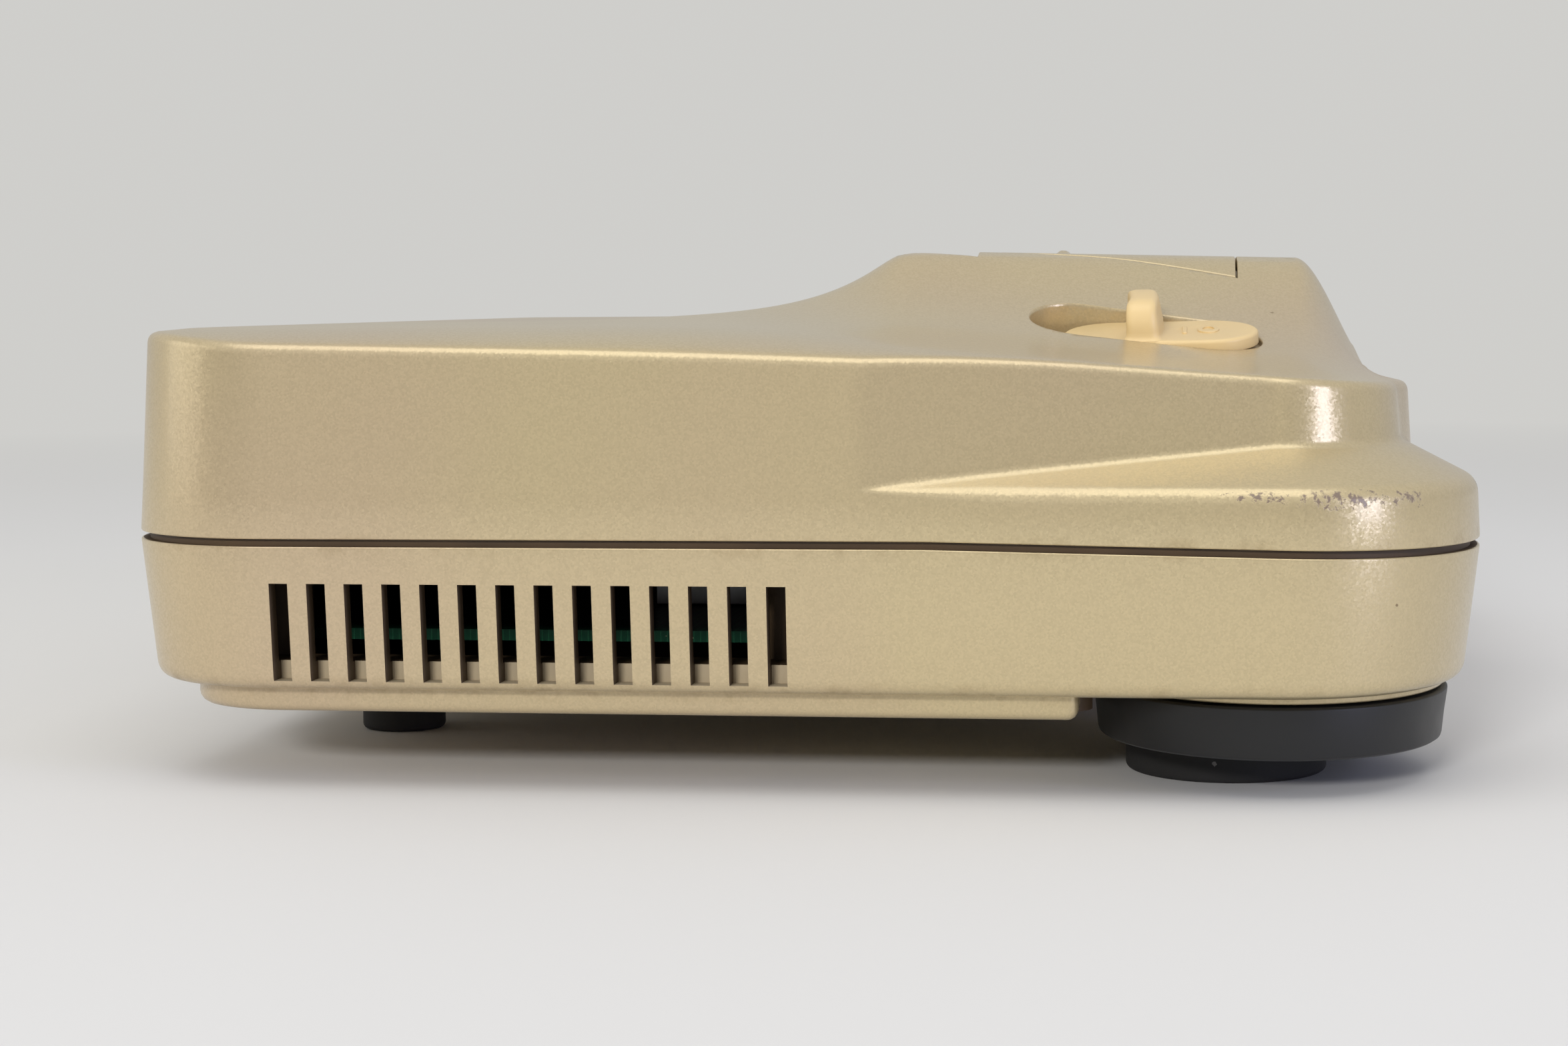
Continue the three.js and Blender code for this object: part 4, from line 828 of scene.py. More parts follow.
SCREW_X = 114.0
SCREW_YS = (73.0, 0.0, -37.0)
SCREWS = [(side * SCREW_X, y) for side in (-1, 1) for y in SCREW_YS]
POST_LOW, POST_HIGH, BORE_HIGH = 30.3, 57, 42
POST_R, BORE_R = 3.8, 1.8
for at in SCREWS:
    post = ellipse(*at, POST_R, POST_R, 24)
    join(upper_case, "post", post, [(0, POST_LOW), (0, POST_HIGH)], shade_darkened_plastic)
    bore = ellipse(*at, BORE_R, BORE_R, 16)
    cut(upper_case, "bore", bore, [(0, POST_LOW - 1), (0, BORE_HIGH)], shade_darkened_plastic)

slot_plan = long_plan(SLOT_X, SLOT_Y0, SLOT_Y1)
door_plan = long_plan(DOOR_X + GAP, DOOR_Y0 - GAP, DOOR_Y1 + GAP, 80, 24)
bay_plan = long_plan(BAY_X, BAY_Y0, BAY_Y1)
above = flat(ABOVE)
slot = column("slot", slot_plan, flat(WELL_LOW - 1), above, upper_paint, LIPS)
ledge = below_roof(DOOR_T + GAP)
door_seat = column("door_seat", door_plan, ledge, above, upper_paint, SHARP_LIPS, 40)
bay_hole = column("bay_hole", bay_plan, flat(BAY_LOW - 1), above, shade_darkened_plastic)
for hole in (slot, door_seat, bay_hole):
    combine(upper_case, hole)

# The flaps' steel pins run in bores through the walls of the well
FLAP_Z, FLAP_YS, PIN_R, PIN_REACH = 61.5, (-19.65, -4.95), 0.9, 60.7
turned_x = Matrix.Rotation(math.pi / 2, 4, "Y")
for y in FLAP_YS:
    place = Matrix.Translation((0, y, FLAP_Z)) @ turned_x
    pin_hole = ellipse(0, 0, PIN_R + GAP, PIN_R + GAP, 16)
    cut(upper_case, "pin_hole", pin_hole, [(0, -PIN_REACH), (0, PIN_REACH)], shade_darkened_plastic, place)
finish_piece(upper_case, "case", "gold_case", "top_shell")

# ---------------------------------------------------------------- lower case shell
# The lower half: a tapered tray with a tongue round its rim, a belly that stands lower than the
# sides, fourteen vents on each side, four controller openings and the power-supply bay.
TONGUE_IN, TONGUE_OUT, TONGUE_H = 1.3, 2.5, 3.5
SILL_Z, SIDE_FLOOR, BELLY_Z = 17.8, 13.8, 10.5
BELLY_X, BELLY_Y0, BELLY_Y1, BELLY_ROUND = 123.8, -40.0, 86.5, 16.0


def lower_rows():
    """Rows from the middle of the underside out, up the wall, over the tongue and down the inside."""
    y = OUTLINE[:, 1]
    rim = seam_z(y)
    turn = eased((1.1, 25), (2.1, 14.2), (7.0, SIDE_FLOOR), 5.4, 9)
    under = ring(7.4, SIDE_FLOOR)
    centre = np.array([0, 0, SIDE_FLOOR])
    underside = [centre + (under - centre) * k / 5 for k in range(1, 6)]
    lip = eased((1.6, 20), (0, rim), (TONGUE_IN, rim), RIM_CUT, 4)
    crest = [
        ring(TONGUE_IN, rim), ring(TONGUE_IN, rim + TONGUE_H - 0.3),
        ring(TONGUE_IN + 0.3, rim + TONGUE_H), ring(TONGUE_OUT, rim + TONGUE_H),
    ]
    floor = ring(1.9 + WALL, SILL_Z)
    centre = np.array([0, 0, SILL_Z])
    inside = [floor] + [centre + (floor - centre) * k / 5 for k in range(4, 0, -1)]
    rows = underside + turn[::-1] + lip + crest + inside
    bands = [0] * (len(underside) + len(turn) + len(lip)) + [1] * (len(crest) + len(inside) + 1)
    return rows, bands, (0, 0, SIDE_FLOOR), (0, 0, SILL_Z)


rows, bands, outer_pole, inner_pole = lower_rows()
lower_case = skin("lower_case", rows, bands, (case_coat, shade_darkened_plastic), outer_pole, inner_pole)

belly_plan = rectangle(-BELLY_X, BELLY_X, BELLY_Y0, BELLY_Y1, 1.6, 7)
front_part = belly_plan[belly_plan[:, 1] <= 0]
cx, cy = BELLY_X - BELLY_ROUND, BELLY_Y1 - BELLY_ROUND
along, out = (BELLY_ROUND * f(np.linspace(0, np.pi / 2, 14)) for f in (np.sin, np.cos))
right_arc = np.stack([cx + out, cy + along], 1)
left_arc = np.stack([-cx - along, cy + out], 1)
belly_plan = np.concatenate([right_arc, left_arc, front_part])
join(lower_case, "belly", belly_plan, rounded(BELLY_Z, 15.0, 1.5, 0), case_coat)
hollow = rectangle(-117, 117, -37, 75.8, 3)
cut(lower_case, "hollow", hollow, [(0, BELLY_Z + WALL), (0, SILL_Z + 1)], shade_darkened_plastic)

DISC_RX, DISC_RY, DISC_LOW, DISC_HIGH = 31.3, 25.0, 5.4, 12.7
for side in (-1, 1):
    lip = ellipse(side * LEG_X, LEG_Y, DISC_RX - 0.6, DISC_RY - 0.6, 96)
    join(lower_case, "lip", lip, rounded(DISC_HIGH + 0.35, SIDE_FLOOR + 1, 0.35, 0), case_coat)

SUPPLY_X0, SUPPLY_X1, SUPPLY_Y0, SUPPLY_WALL, BAY_CEILING = -19.7, 56.3, 40.0, 2.2, 32.8
bay_box = rectangle(
    SUPPLY_X0 - SUPPLY_WALL, SUPPLY_X1 + SUPPLY_WALL, SUPPLY_Y0 - SUPPLY_WALL, REAR - 3
)
join(lower_case, "bay_box", bay_box, [(0, BELLY_Z + 1), (0, BAY_CEILING)], shade_darkened_plastic)
BOSS_R, BOSS_LOW, BOSS_HIGH = 4.6, 11.0, 30.0
for at in SCREWS:
    boss = ellipse(*at, BOSS_R, BOSS_R, 24)
    join(lower_case, "boss", boss, [(0, BOSS_LOW), (0, BOSS_HIGH)], shade_darkened_plastic)
EXP_X0, EXP_X1, EXP_Y0, EXP_Y1, EXP_FRAME = -82.0, -22.0, 12.0, 42.0, 1.6
exp_frame = rectangle(
    EXP_X0 - EXP_FRAME, EXP_X1 + EXP_FRAME, EXP_Y0 - EXP_FRAME, EXP_Y1 + EXP_FRAME
)
join(lower_case, "exp_frame", exp_frame, [(0, BELLY_Z + 0.2), (0, 17.8)], shade_darkened_plastic)

bay_cut = rectangle(SUPPLY_X0, SUPPLY_X1, SUPPLY_Y0, REAR + 3)
bay_steps = [(0.5, BELLY_Z - 1), (0.5, BELLY_Z), (0.12, BELLY_Z + 0.12), (0, BELLY_Z + 0.5)]
bay_steps.append((0, BAY_CEILING - 1.6))
cut(lower_case, "bay_cut", bay_cut, bay_steps, shade_darkened_plastic)
SOCKET_X0, SOCKET_X1, SOCKET_Z0, SOCKET_Z1 = 3.4, 33.2, 20.0, 30.6
window = rectangle(SOCKET_X0, SOCKET_X1, SUPPLY_Y0 - 5, SUPPLY_Y0 + 1)
cut(lower_case, "window", window, [(0, SOCKET_Z0), (0, SOCKET_Z1)], shade_darkened_plastic)
HEAD_HOLE_R, HEAD_SEAT = 3.6, 22
head_steps = [(0.5, 9.5), (0.5, BELLY_Z), (0.1, BELLY_Z + 0.15), (0, BELLY_Z + 0.5), (0, HEAD_SEAT)]
for at in SCREWS:
    head_hole = ellipse(*at, HEAD_HOLE_R, HEAD_HOLE_R, 28)
    cut(lower_case, "head_hole", head_hole, head_steps, shade_darkened_plastic)
    shank_hole = ellipse(*at, BORE_R, BORE_R, 16)
    cut(lower_case, "shank_hole", shank_hole, [(0, HEAD_SEAT - 1), (0, 31.3)], shade_darkened_plastic)
exp_hole = rectangle(EXP_X0, EXP_X1, EXP_Y0, EXP_Y1, 1)
exp_steps = [(0.4, BELLY_Z - 1), (0.4, BELLY_Z), (0.1, BELLY_Z + 0.1), (0, BELLY_Z + 0.4), (0, 22)]
cut(lower_case, "exp_hole", exp_hole, exp_steps, shade_darkened_plastic)
LABEL_PLAN = (-12, 52, -30, -4, 1.5)
label_steps = [(0, BELLY_Z - 1), (0, BELLY_Z + 1)]
cut(lower_case, "label_seat", rectangle(*LABEL_PLAN), label_steps, case_coat)

VENT_COUNT, VENT_PITCH, VENT_W, VENT_DEEP = 14, 5.28, 2.62, 5.6
VENT_Y, VENT_LOW, VENT_HIGH = 69.9, 15.3, 28.9
for side in (-1, 1):
    for n in range(VENT_COUNT):
        y1 = VENT_Y - n * VENT_PITCH
        xa, xb = sorted((side * (HALF_W + 2), side * (HALF_W - VENT_DEEP)))
        vent = rectangle(xa, xb, y1 - VENT_W, y1)
        cut(lower_case, "vent", vent, [(0, VENT_LOW), (0, VENT_HIGH)], shade_darkened_plastic)

PORT_XS = (-50.5, -22.5, 22.5, 50.5)
PORT_W, PORT_H, PORT_Z, PORT_ROUND, PORT_DEPTH = 20.6, 15.0, 23.8, 6.0, 17.0
stand_up = Matrix.Rotation(math.pi / 2, 4, "X")


def port_plan(steps=9):
    """A controller opening seen from the front: square above, round corners below, anticlockwise."""
    w, h, r = PORT_W / 2, PORT_H / 2, PORT_ROUND
    a = np.linspace(0, np.pi / 2, steps)
    left = np.stack([r - w - r * np.cos(a), r - h - r * np.sin(a)], 1)
    right = np.stack([w - r + r * np.sin(a), r - h - r * np.cos(a)], 1)
    top_r = np.stack([w - 0.8 + 0.8 * np.cos(a), h - 0.8 + 0.8 * np.sin(a)], 1)
    top_l = np.stack([0.8 - w - 0.8 * np.sin(a), h - 0.8 + 0.8 * np.cos(a)], 1)
    return np.concatenate([left, right, top_r, top_l])


def facing_front(x, z):
    """Places a plan drawn as seen from the front, whose heights then run out of the front face."""
    return Matrix.Translation((x, FLAT_Y, z)) @ stand_up


for x in PORT_XS:
    steps = [(0.3, -PORT_DEPTH - 3), (0.3, -0.5), (0.38, -0.22), (0.6, 0.0), (0.9, 0.1), (0.9, 4)]
    cut(lower_case, "port_hole", port_plan(), steps, case_coat, facing_front(x, PORT_Z))
LENS_Z, LENS_R = 27.0, 2.4
lens_steps = [(0.3, -12), (0.3, 3.2), (0.5, 3.7), (1.2, 4.4)]
lens_hole = ellipse(0, 0, LENS_R, LENS_R, 32)
cut(lower_case, "lens_hole", lens_hole, lens_steps, case_coat, facing_front(0, LENS_Z))
AV_X, AV_W, AV_H, AV_Z = -48.0, 27.0, 9.6, 25.2
half_w, half_h = AV_W / 2 + GAP, AV_H / 2 + GAP
av_hole = rectangle(AV_X - half_w, AV_X + half_w, REAR - 8, REAR + 2)
cut(lower_case, "av_hole", av_hole, [(0, AV_Z - half_h), (0, AV_Z + half_h)], shade_darkened_plastic)

# Overspray reaches the backs and the sills of the vents
mesh = lower_case.data
mesh.materials.append(sprayed_edge)
count = len(mesh.polygons)
centre, way = np.zeros(count * 3, np.float32), np.zeros(count * 3, np.float32)
kind = np.zeros(count, np.int32)
mesh.polygons.foreach_get("center", centre)
mesh.polygons.foreach_get("normal", way)
mesh.polygons.foreach_get("material_index", kind)
centre, way = centre.reshape(-1, 3) / MM, way.reshape(-1, 3)
in_vents = (np.abs(centre[:, 0]) > HALF_W - VENT_DEEP - 0.1) & (centre[:, 2] < SILL_Z) & (kind == 1)
in_vents &= (centre[:, 1] < VENT_Y) & (centre[:, 1] > VENT_Y - VENT_COUNT * VENT_PITCH)
in_vents &= (np.abs(way[:, 0]) > 0.9) | (way[:, 2] > 0.9)
kind[in_vents] = len(mesh.materials) - 1
mesh.polygons.foreach_set("material_index", kind)
finish_piece(lower_case, "case", "gold_case", "bottom_shell")

# ---------------------------------------------------------------- memory door
# A lift-off cover over the memory bay. It is moulded and sprayed with the upper case, curves over
# the flanks of the hump and has a low finger rib near each end.
RIB_X, RIB_Y, RIB_HIGH = 41.5, -34.6, 0.55


def border_lines(low, high, edge, count):
    """Grid lines from low to high, crowded inside the edge width at both ends."""
    near = edge * np.array([0.0, 0.06, 0.2, 0.42, 0.7])
    return np.concatenate([
        low + near, np.linspace(low + edge, high - edge, count), high - near[::-1]
    ])


def panel(name, xs, ys, top, thickness, edge, paint):
    """A curved plate on a grid of x and y lines: its top follows top(x, y), less a quarter-circle
    fall of that edge radius near the sides, and its underside lies a thickness lower."""
    x, y = np.meshgrid(xs, ys, indexing="ij")
    q = np.minimum(np.minimum(x - xs[0], xs[-1] - x), np.minimum(y - ys[0], ys[-1] - y))
    q = np.clip(q, 0, edge)
    surface = top(x, y)
    fall = edge - np.sqrt(np.maximum(0, edge * edge - (edge - q) ** 2))
    upper = np.stack([x, y, surface - fall], -1)
    lower = np.stack([x, y, surface - thickness], -1)
    points = np.concatenate([upper.reshape(-1, 3), lower.reshape(-1, 3)]) * MM
    nx, ny = len(xs), len(ys)
    i, j = np.meshgrid(np.arange(nx - 1), np.arange(ny - 1), indexing="ij")
    a = i * ny + j
    quads = np.stack([a, a + ny, a + ny + 1, a + 1], -1).reshape(-1, 4)
    under = quads[:, ::-1] + nx * ny
    round_way = np.concatenate([
        np.arange(nx - 1) * ny, (nx - 1) * ny + np.arange(ny - 1),
        np.arange(nx - 1, 0, -1) * ny + ny - 1, np.arange(ny - 1, 0, -1),
    ])
    onward = np.roll(round_way, -1)
    walls = np.stack([round_way, round_way + nx * ny, onward + nx * ny, onward], 1)
    mesh = bpy.data.meshes.new(name)
    mesh.from_pydata(points.tolist(), [], quads.tolist() + under.tolist() + walls.tolist())
    mesh.materials.append(paint)
    made = bpy.data.objects.new(name, mesh)
    scene.collection.objects.link(made)
    return made


def door_face(x, y):
    """The roof with two smooth ribs, each a bell across y and a plateau along x."""
    bell = np.exp(-(((y - RIB_Y) / 0.85) ** 4))
    plateau = np.exp(-(((np.abs(x) - RIB_X) / 4.5) ** 8))
    return roof_z(x, y) + RIB_HIGH * bell * plateau


DOOR_EDGE = 0.2
rib_lines = np.linspace(RIB_Y - 1.4, RIB_Y + 1.4, 12)
door_xs = border_lines(-DOOR_X, DOOR_X, DOOR_EDGE, 120)
door_ys = border_lines(DOOR_Y0, DOOR_Y1, DOOR_EDGE, 40)
door_ys = np.unique(np.concatenate([door_ys, rib_lines]))
memory_cover = panel("memory_cover", door_xs, door_ys, door_face, DOOR_T, DOOR_EDGE, case_coat)
finish_piece(memory_cover, "door", "gold_case", "memory_door", degrees=50)

# ---------------------------------------------------------------- power slider and reset button
# Two ivory mouldings in pockets on the flanks of the hump. The slider has an arched finger ridge
# across it and plain raised marks; the reset button is a smooth plate. Both stand on stems.
ivory = moulded(
    "ivory_plastic", (0.70, 0.525, 0.262), 0.40, grain=2200.0, depth=0.00001, drift=0.04
)
STEM_LOW = {-1: 34.3, 1: 34.4}
MARK_Y, MARK_H = -7.0, 0.22
RIDGE_H, RIDGE_Y = 5.6, 2.8
RIDGE_FOOT = [(-0.8, 0.5), (0, 0.45), (0.25, 0.15), (0.6, 0)]
RIDGE_SIDE = [(v, 0) for v in np.linspace(1.2, 4.6, 9)]
RIDGE_CROWN = [(5.0, -0.06), (5.3, -0.22), (5.5, -0.5), (RIDGE_H, -0.85)]


def finger_ridge():
    """Rows of a bowed, round-ended strip that narrows upward along a quarter ellipse."""
    rows = []
    for h, ease in RIDGE_FOOT + RIDGE_SIDE + RIDGE_CROWN:
        v = np.clip((h - 1.6) / 4.2, 0, 1)
        half_x = 6.9 - 3.6 * (1 - math.sqrt(1 - v * v)) + ease
        half_y = 2.45 - 0.35 * np.clip(h / RIDGE_H, 0, 1) + ease
        plan = rectangle(-half_x, half_x, -half_y, half_y, 1.1, 6)
        dense = np.linspace(0, 1, 9)[1:-1]
        corners = np.split(plan, 4)
        parts = []
        for k in range(4):
            start, end = corners[k][-1], corners[(k + 1) % 4][0]
            parts += [corners[k], start + (end - start) * dense[:, None]]
        plan = np.concatenate(parts)
        bow = -0.9 * (1 - (plan[:, 0] / 7.4) ** 2) + 0.5 * v
        rows.append(np.stack([plan[:, 0], plan[:, 1] + RIDGE_Y + bow, 0 * plan[:, 0] + h], 1))
    return rows


knobs = {}
for side, name in ((-1, "slider_knob"), (1, "reset_knob")):
    lean = knob_frame(side)
    plate = stadium(PLATE_L, PLATE_W, 28)
    knob = carried(name, plate, rounded(-PLATE_T, 0, 0.15, 0.6, 7), ivory, lean)
    if side < 0:
        combine(knob, placed(skin("ridge", finger_ridge(), None, (ivory,)), lean), "UNION")
        raised = rounded(-0.3, MARK_H, 0, 0.12, 4)
        join(knob, "bar", rectangle(-2.4, 2.4, -3.9, -3.2, 0.3), raised, ivory, lean)
        loop = carried("loop", ellipse(0, MARK_Y, 2.3, 1.6, 40), raised, ivory, lean)
        cut(loop, "eye", ellipse(0, MARK_Y, 1.5, 0.85, 32), [(0, -1), (0, 1)], ivory, lean)
        combine(knob, loop, "UNION")
    stem = rectangle(side * KNOB_X - 1.5, side * KNOB_X + 1.5, KNOB_Y - 3, KNOB_Y + 3, 0.4)
    stem_top = float(lean.translation.z) - 1
    join(knob, "stem", stem, [(0, STEM_LOW[side]), (0, stem_top)], ivory)
    knobs[side] = knob
finish_piece(knobs[-1], "slider", "ivory_plastic", "power_slider", degrees=40)
finish_piece(knobs[1], "reset", "ivory_plastic", "reset_button", degrees=40)

# ---------------------------------------------------------------- cartridge flaps
# Two black leaves that close the slot. Each turns on a steel pin through its knuckle and is held
# shut by a coil spring in a gap near the knuckle's right end.
black = moulded(
    "black_plastic", (0.0125, 0.013, 0.014), 0.42, grain=2600.0, depth=0.00002, dust=0.25
)
FLAP_HALF, FLAP_T, KNUCKLE_R, SPRING_LEN = 58.9, 1.6, 2.0, 9.0
LIP_Y = (-12.5, -12.1)
FLAP_LOW, FLAP_HIGH = FLAP_Z - FLAP_T / 2, FLAP_Z + FLAP_T / 2
SPRING_IN, RELIEF = 6, 2.6
for n, name in enumerate(("front", "rear")):
    y = FLAP_YS[n]
    y0, y1 = sorted((y, LIP_Y[n]))
    leaf = rectangle(-FLAP_HALF, FLAP_HALF, y0, y1, 0.4, 4)
    flap = carried(f"flap_{name}", leaf, rounded(FLAP_LOW, FLAP_HIGH, 0.2, 0.35), black)
    axis = Matrix.Translation((0, y, FLAP_Z)) @ turned_x
    knuckle = ellipse(0, 0, KNUCKLE_R, KNUCKLE_R, 32)
    join(flap, "knuckle", knuckle, rounded(-FLAP_HALF, FLAP_HALF, 0.3, 0.3), black, axis)
    groove_y = (y + LIP_Y[n]) / 2
    groove = rectangle(-FLAP_HALF + 4, FLAP_HALF - 4, groove_y - 0.4, groove_y + 0.4, 0.3, 4)
    cut(flap, "groove", groove, [(0, FLAP_HIGH - 0.3), (0.1, FLAP_HIGH + 0.1)], black)
    cut(flap, "bore", ellipse(0, 0, PIN_R + GAP, PIN_R + GAP, 24), [(0, -60), (0, 60)], black, axis)
    gap_x = FLAP_HALF - SPRING_IN - SPRING_LEN
    relief = rectangle(gap_x, gap_x + SPRING_LEN, y - RELIEF, y + RELIEF)
    cut(flap, "relief", relief, [(0, FLAP_Z - RELIEF), (0, FLAP_Z + RELIEF)], black)
    finish_piece(flap, f"{name}_flap", "black_plastic", f"slot_flap_{name}")


def metal(name, colour, roughness, brushed=1.0, blotch=0.1, tarnish=0.0):
    """Bare metal: streaks along X from a stretched noise, and slow changes of tone."""
    made, tree, shader = material(name, metallic=1.0)
    spot = node(tree, "ShaderNodeTexCoord").outputs["Object"]
    drawn = (60.0 / brushed, 1500.0, 1500.0)
    stretched = node(tree, "ShaderNodeMapping", Vector=spot, Scale=drawn).outputs[0]
    streaks = noise(tree, stretched, 1.0, 3.0)
    slow = noise(tree, spot, 45.0, 4.0, Roughness=0.65)
    dark = tuple(c * (1 - blotch) for c in colour) + (1,)
    tone = blend_colour(tree, spread(tree, slow, 0.35, 0.65), dark, (*colour, 1))
    if tarnish:
        stain = spread(tree, slow, 0.56, 0.7, 0.0, tarnish)
        tone = blend_colour(tree, stain, tone, (0.20, 0.15, 0.10, 1))
    tree.links.new(tone, shader.inputs["Base Color"])
    rough = spread(tree, streaks, 0.3, 0.7, roughness - 0.06, roughness + 0.1)
    feed(tree, shader.inputs["Roughness"], rough)
    add_bump(tree, shader, 0.4, 0.00001, streaks)
    return made


def repaint(paint, *names):
    """Gives CAD nodes a finish; their shapes stay as they are."""
    for name in names:
        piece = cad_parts[name]
        if piece.material_slots:
            piece.material_slots[0].material = paint
        else:
            piece.data.materials.append(paint)


steel = metal("bright_steel", (0.60, 0.60, 0.61), 0.28)
repaint(steel, "flap_pin_front", "flap_pin_rear", "flap_spring_front", "flap_spring_rear")

# ---------------------------------------------------------------- controller sockets
# Four black moulded sleeves behind the front openings, each square above and round below, with
# three contact pins at its back.
PIN_X, PIN_R_OUT = 4.4, 1.0
SLEEVE_STEPS = [(0, -17.6), (0, -0.95), (-0.1, -0.7), (-0.35, -0.6)]
HOLLOW_STEPS = [(-2, -14.6), (-2, -1.3), (-1.85, -0.95), (-1.5, -0.65), (-1.1, -0.3), (-1.1, 1)]
PIN_STEPS = [(0, -15.1), (0, -7.9), (-0.12, -7.5), (-0.4, -7.2), (-0.8, -7.1)]
for n, x in enumerate(PORT_XS):
    place = facing_front(x, PORT_Z)
    sleeve = carried(f"socket_{n + 1}", port_plan(), SLEEVE_STEPS, black, place)
    cut(sleeve, "hollow", port_plan(), HOLLOW_STEPS, black, place)
    for dx in (-PIN_X, 0, PIN_X):
        pin = ellipse(dx, 0, PIN_R_OUT, PIN_R_OUT, 20)
        join(sleeve, "pin", pin, PIN_STEPS, steel, place)
    finish_piece(sleeve, "case", "black_plastic", f"controller_port_{n + 1}")

# ---------------------------------------------------------------- power light
# A small red lens pressed into the nose from inside, with the lamp on the socket board behind it.
red, tree, shader = material("red_lens", roughness=0.12, colour=(0.35, 0.012, 0.008))
shader.inputs["Transmission Weight"].default_value = 0.35
spot = node(tree, "ShaderNodeTexCoord").outputs["Object"]
haze = noise(tree, spot, 500.0, 3.0)
glow = blend_colour(tree, haze, (0.30, 0.008, 0.006, 1), (0.42, 0.02, 0.012, 1))
feed(tree, shader.inputs["Base Color"], glow)
lens_steps = [
    (-0.2, -3.9), (0, -3.7), (0, 2.7), (-0.2, 3.0),
    (-0.6, 3.3), (-1.1, 3.5), (-1.7, 3.62), (-2.2, 3.66),
]
lens_plan = ellipse(0, 0, LENS_R, LENS_R, 40)
lens = carried("light_cap", lens_plan, lens_steps, red, facing_front(0, LENS_Z))
finish_piece(lens, "case", "red_light", "light_lens", degrees=60)
repaint(red, "power_light")

# ---------------------------------------------------------------- rear sockets
# The audio-video socket is a black shell with a contact blade; the supply socket stands in the
# bay that takes the separate power supply.
AV_FACE = 92.6
x0, x1 = AV_X - AV_W / 2, AV_X + AV_W / 2
z0, z1 = AV_Z - AV_H / 2, AV_Z + AV_H / 2
face_rear = Matrix.Translation((0, AV_FACE, 0)) @ Matrix.Rotation(-math.pi / 2, 4, "X")
shell = rectangle(x0, x1, -z1, -z0, 1.2)
av = carried("picture_socket", shell, rounded(-16, 0, 0.3, 0.3), black, face_rear)
hollow = rectangle(x0 + 2, x1 - 2, 2 - z1, -2 - z0, 0.8)
cut(av, "hollow", hollow, [(0, -11), (0, -0.4), (0.4, 0), (0.4, 1)], black, face_rear)
blade = rectangle(x0 + 4.5, x1 - 4.5, -AV_Z - 0.6, -AV_Z + 0.6, 0.3)
join(av, "blade", blade, rounded(-12, -5, 0, 0.3), black, face_rear)
for k in range(6):
    cx = x0 + 6.5 + k * 2.8
    strip = rectangle(cx - 0.5, cx + 0.5, -AV_Z - 0.68, -AV_Z + 0.68)
    join(av, "contact", strip, [(0, -11.5), (0, -5.6)], steel, face_rear)
finish_piece(av, "case", "black_plastic", "av_socket")
repaint(black, "supply_socket")

# ---------------------------------------------------------------- feet
# Under each front leg hangs a black moulded disc with a rubber pad below it. Two plain rubber
# feet carry the rear.
rubber = moulded(
    "rubber", (0.021, 0.0205, 0.0205), 0.78, grain=1500.0, depth=0.00005, drift=0.2, dust=0.35
)
satin = moulded(
    "satin_black", (0.0075, 0.0077, 0.008), 0.44, grain=2000.0, depth=0.00001, drift=0.1, dust=0.06
)
DISC_STEPS = [
    (-1.9, DISC_LOW), (-1.35, 5.45), (-0.98, 5.7), (-0.85, 6.1), (-0.55, 9.0), (-0.1, 12.15),
    (-0.12, 12.4), (-0.3, 12.6), (-0.6, DISC_HIGH),
]
PAD_RX, PAD_RY, PAD_Y, PAD_H = 16.0, 14.2, -59.9, 5.1
FOOT_R, FOOT_X, FOOT_Y, FOOT_H = 6.5, 66.0, 68.5, 10.2
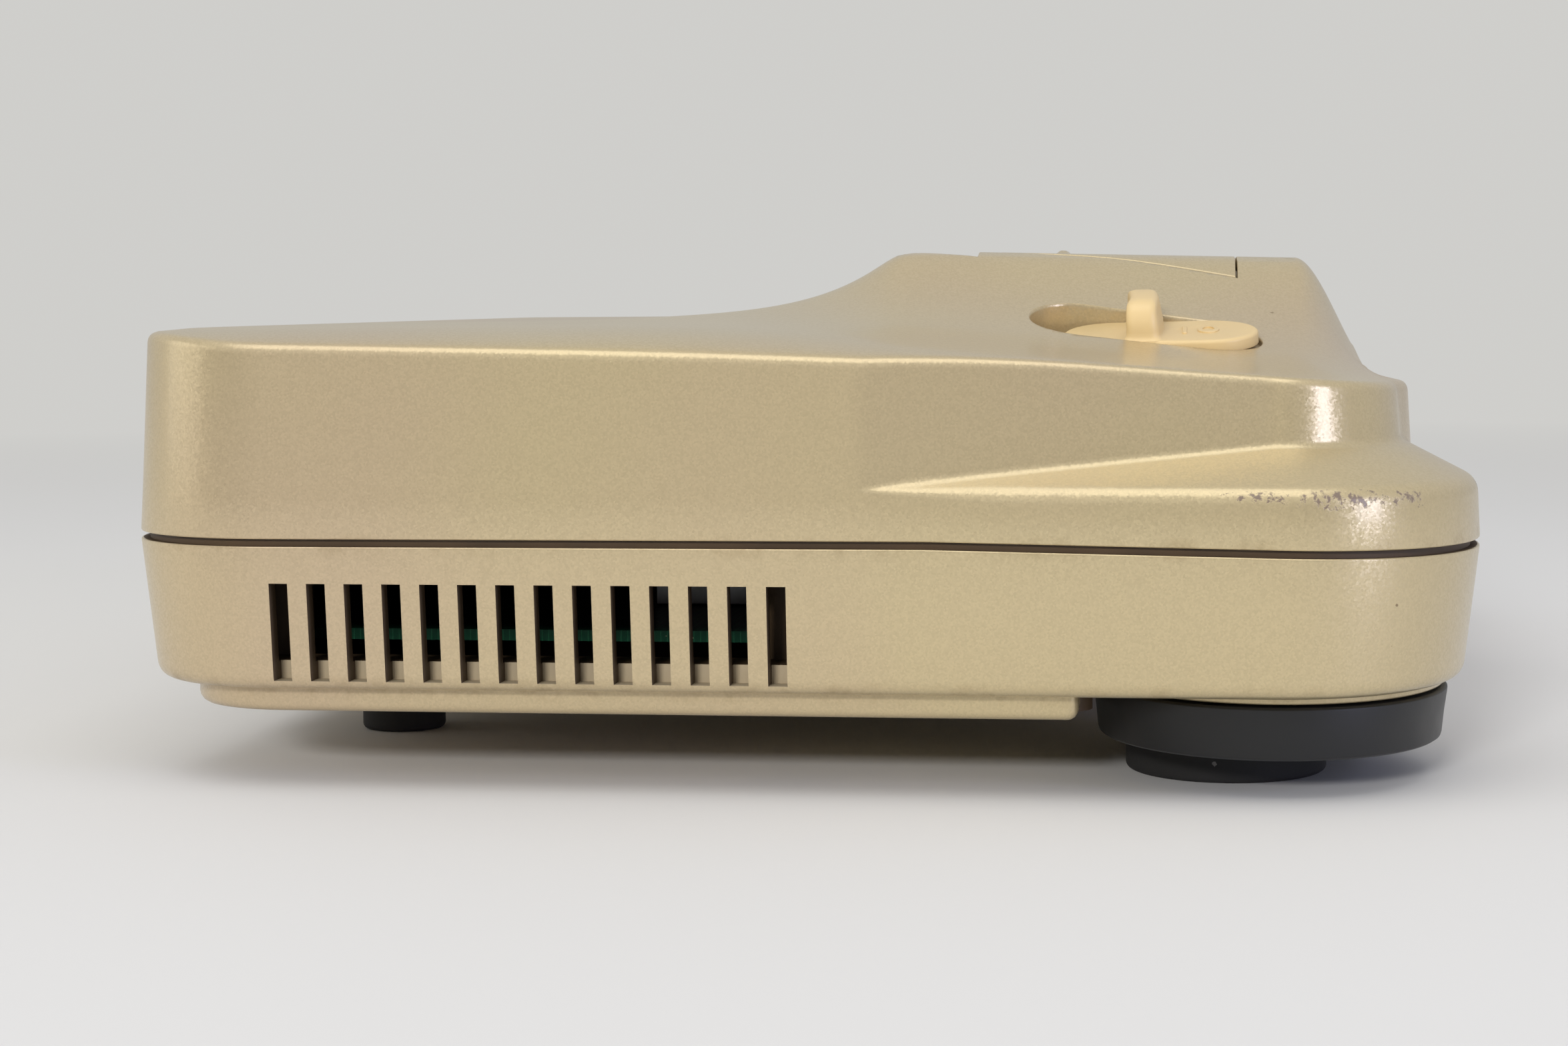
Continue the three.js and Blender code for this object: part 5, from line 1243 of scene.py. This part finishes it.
for side, name in ((-1, "left"), (1, "right")):
    sole_plan = ellipse(side * LEG_X, LEG_Y, DISC_RX, DISC_RY, 144)
    sole = carried(f"sole_{name}", sole_plan, DISC_STEPS, satin)
    finish_piece(sole, "case", "black_plastic", f"foot_disc_{name}")
    pad_plan = ellipse(side * LEG_X, PAD_Y, PAD_RX, PAD_RY, 80)
    pad = carried(f"pad_{name}", pad_plan, rounded(0, PAD_H, 0.7, 0.1), rubber)
    finish_piece(pad, "case", "rubber", f"front_pad_{name}")
    foot_plan = ellipse(side * FOOT_X, FOOT_Y, FOOT_R, FOOT_R, 56)
    foot = carried(f"heel_{name}", foot_plan, rounded(0, FOOT_H, 0.9, 0.2), rubber)
    finish_piece(foot, "case", "rubber", f"rear_foot_{name}")

# ---------------------------------------------------------------- underside
# The expansion cover is moulded in the case colour, the rating plate is a blank foil label in its
# seat, and six cross-head screws draw the shells together from below.
repaint(case_coat, "expansion_cover")
foil = metal("foil_label", (0.52, 0.52, 0.51), 0.42, brushed=3.0, blotch=0.05)
repaint(foil, "rating_plate")
zinc = metal("zinc_screw", (0.50, 0.48, 0.43), 0.38, tarnish=0.6)
repaint(zinc, *[f"case_screw_{n + 1}" for n in range(len(SCREWS))])

# ---------------------------------------------------------------- boards and shields
# A green main board lies between two tinned shields, with an aluminium heat spreader, the black
# connectors, the switches of the two controls and a memory module in its bay.
board, tree, shader = material("circuit_board", roughness=0.38)
spot = node(tree, "ShaderNodeTexCoord").outputs["Object"]
lanes = node(tree, "ShaderNodeTexVoronoi", Vector=spot, Scale=420.0)
lanes.distance = "MANHATTAN"
pads = spread(tree, lanes.outputs["Distance"], 0.10, 0.14, 1.0, 0.0)
tracks = node(
    tree, "ShaderNodeTexBrick", Vector=spot, Scale=260.0,
    Color1=(0, 0, 0, 1), Color2=(0.35, 0.35, 0.35, 1), Mortar=(1, 1, 1, 1),
)
green = blend_colour(tree, tracks.outputs["Fac"], (0.012, 0.085, 0.045, 1), (0.03, 0.17, 0.085, 1))
pads = sum_of(tree, "MULTIPLY", pads, 0.8)
feed(tree, shader.inputs["Base Color"], blend_colour(tree, pads, green, (0.55, 0.50, 0.38, 1)))
add_bump(tree, shader, 0.5, 0.00004, tracks.outputs["Fac"])
repaint(board, "main_board", "port_board")
tin = metal("tin_plate", (0.55, 0.56, 0.57), 0.34, brushed=0.5, blotch=0.2, tarnish=0.25)
repaint(tin, "upper_shield", "lower_shield")
aluminium = metal("aluminium", (0.66, 0.67, 0.68), 0.30, brushed=2.0)
repaint(aluminium, "heat_spreader")
repaint(
    black, "cartridge_connector", "memory_connector", "expansion_connector", "power_switch",
    "power_switch_lever", "reset_switch", "memory_module",
)
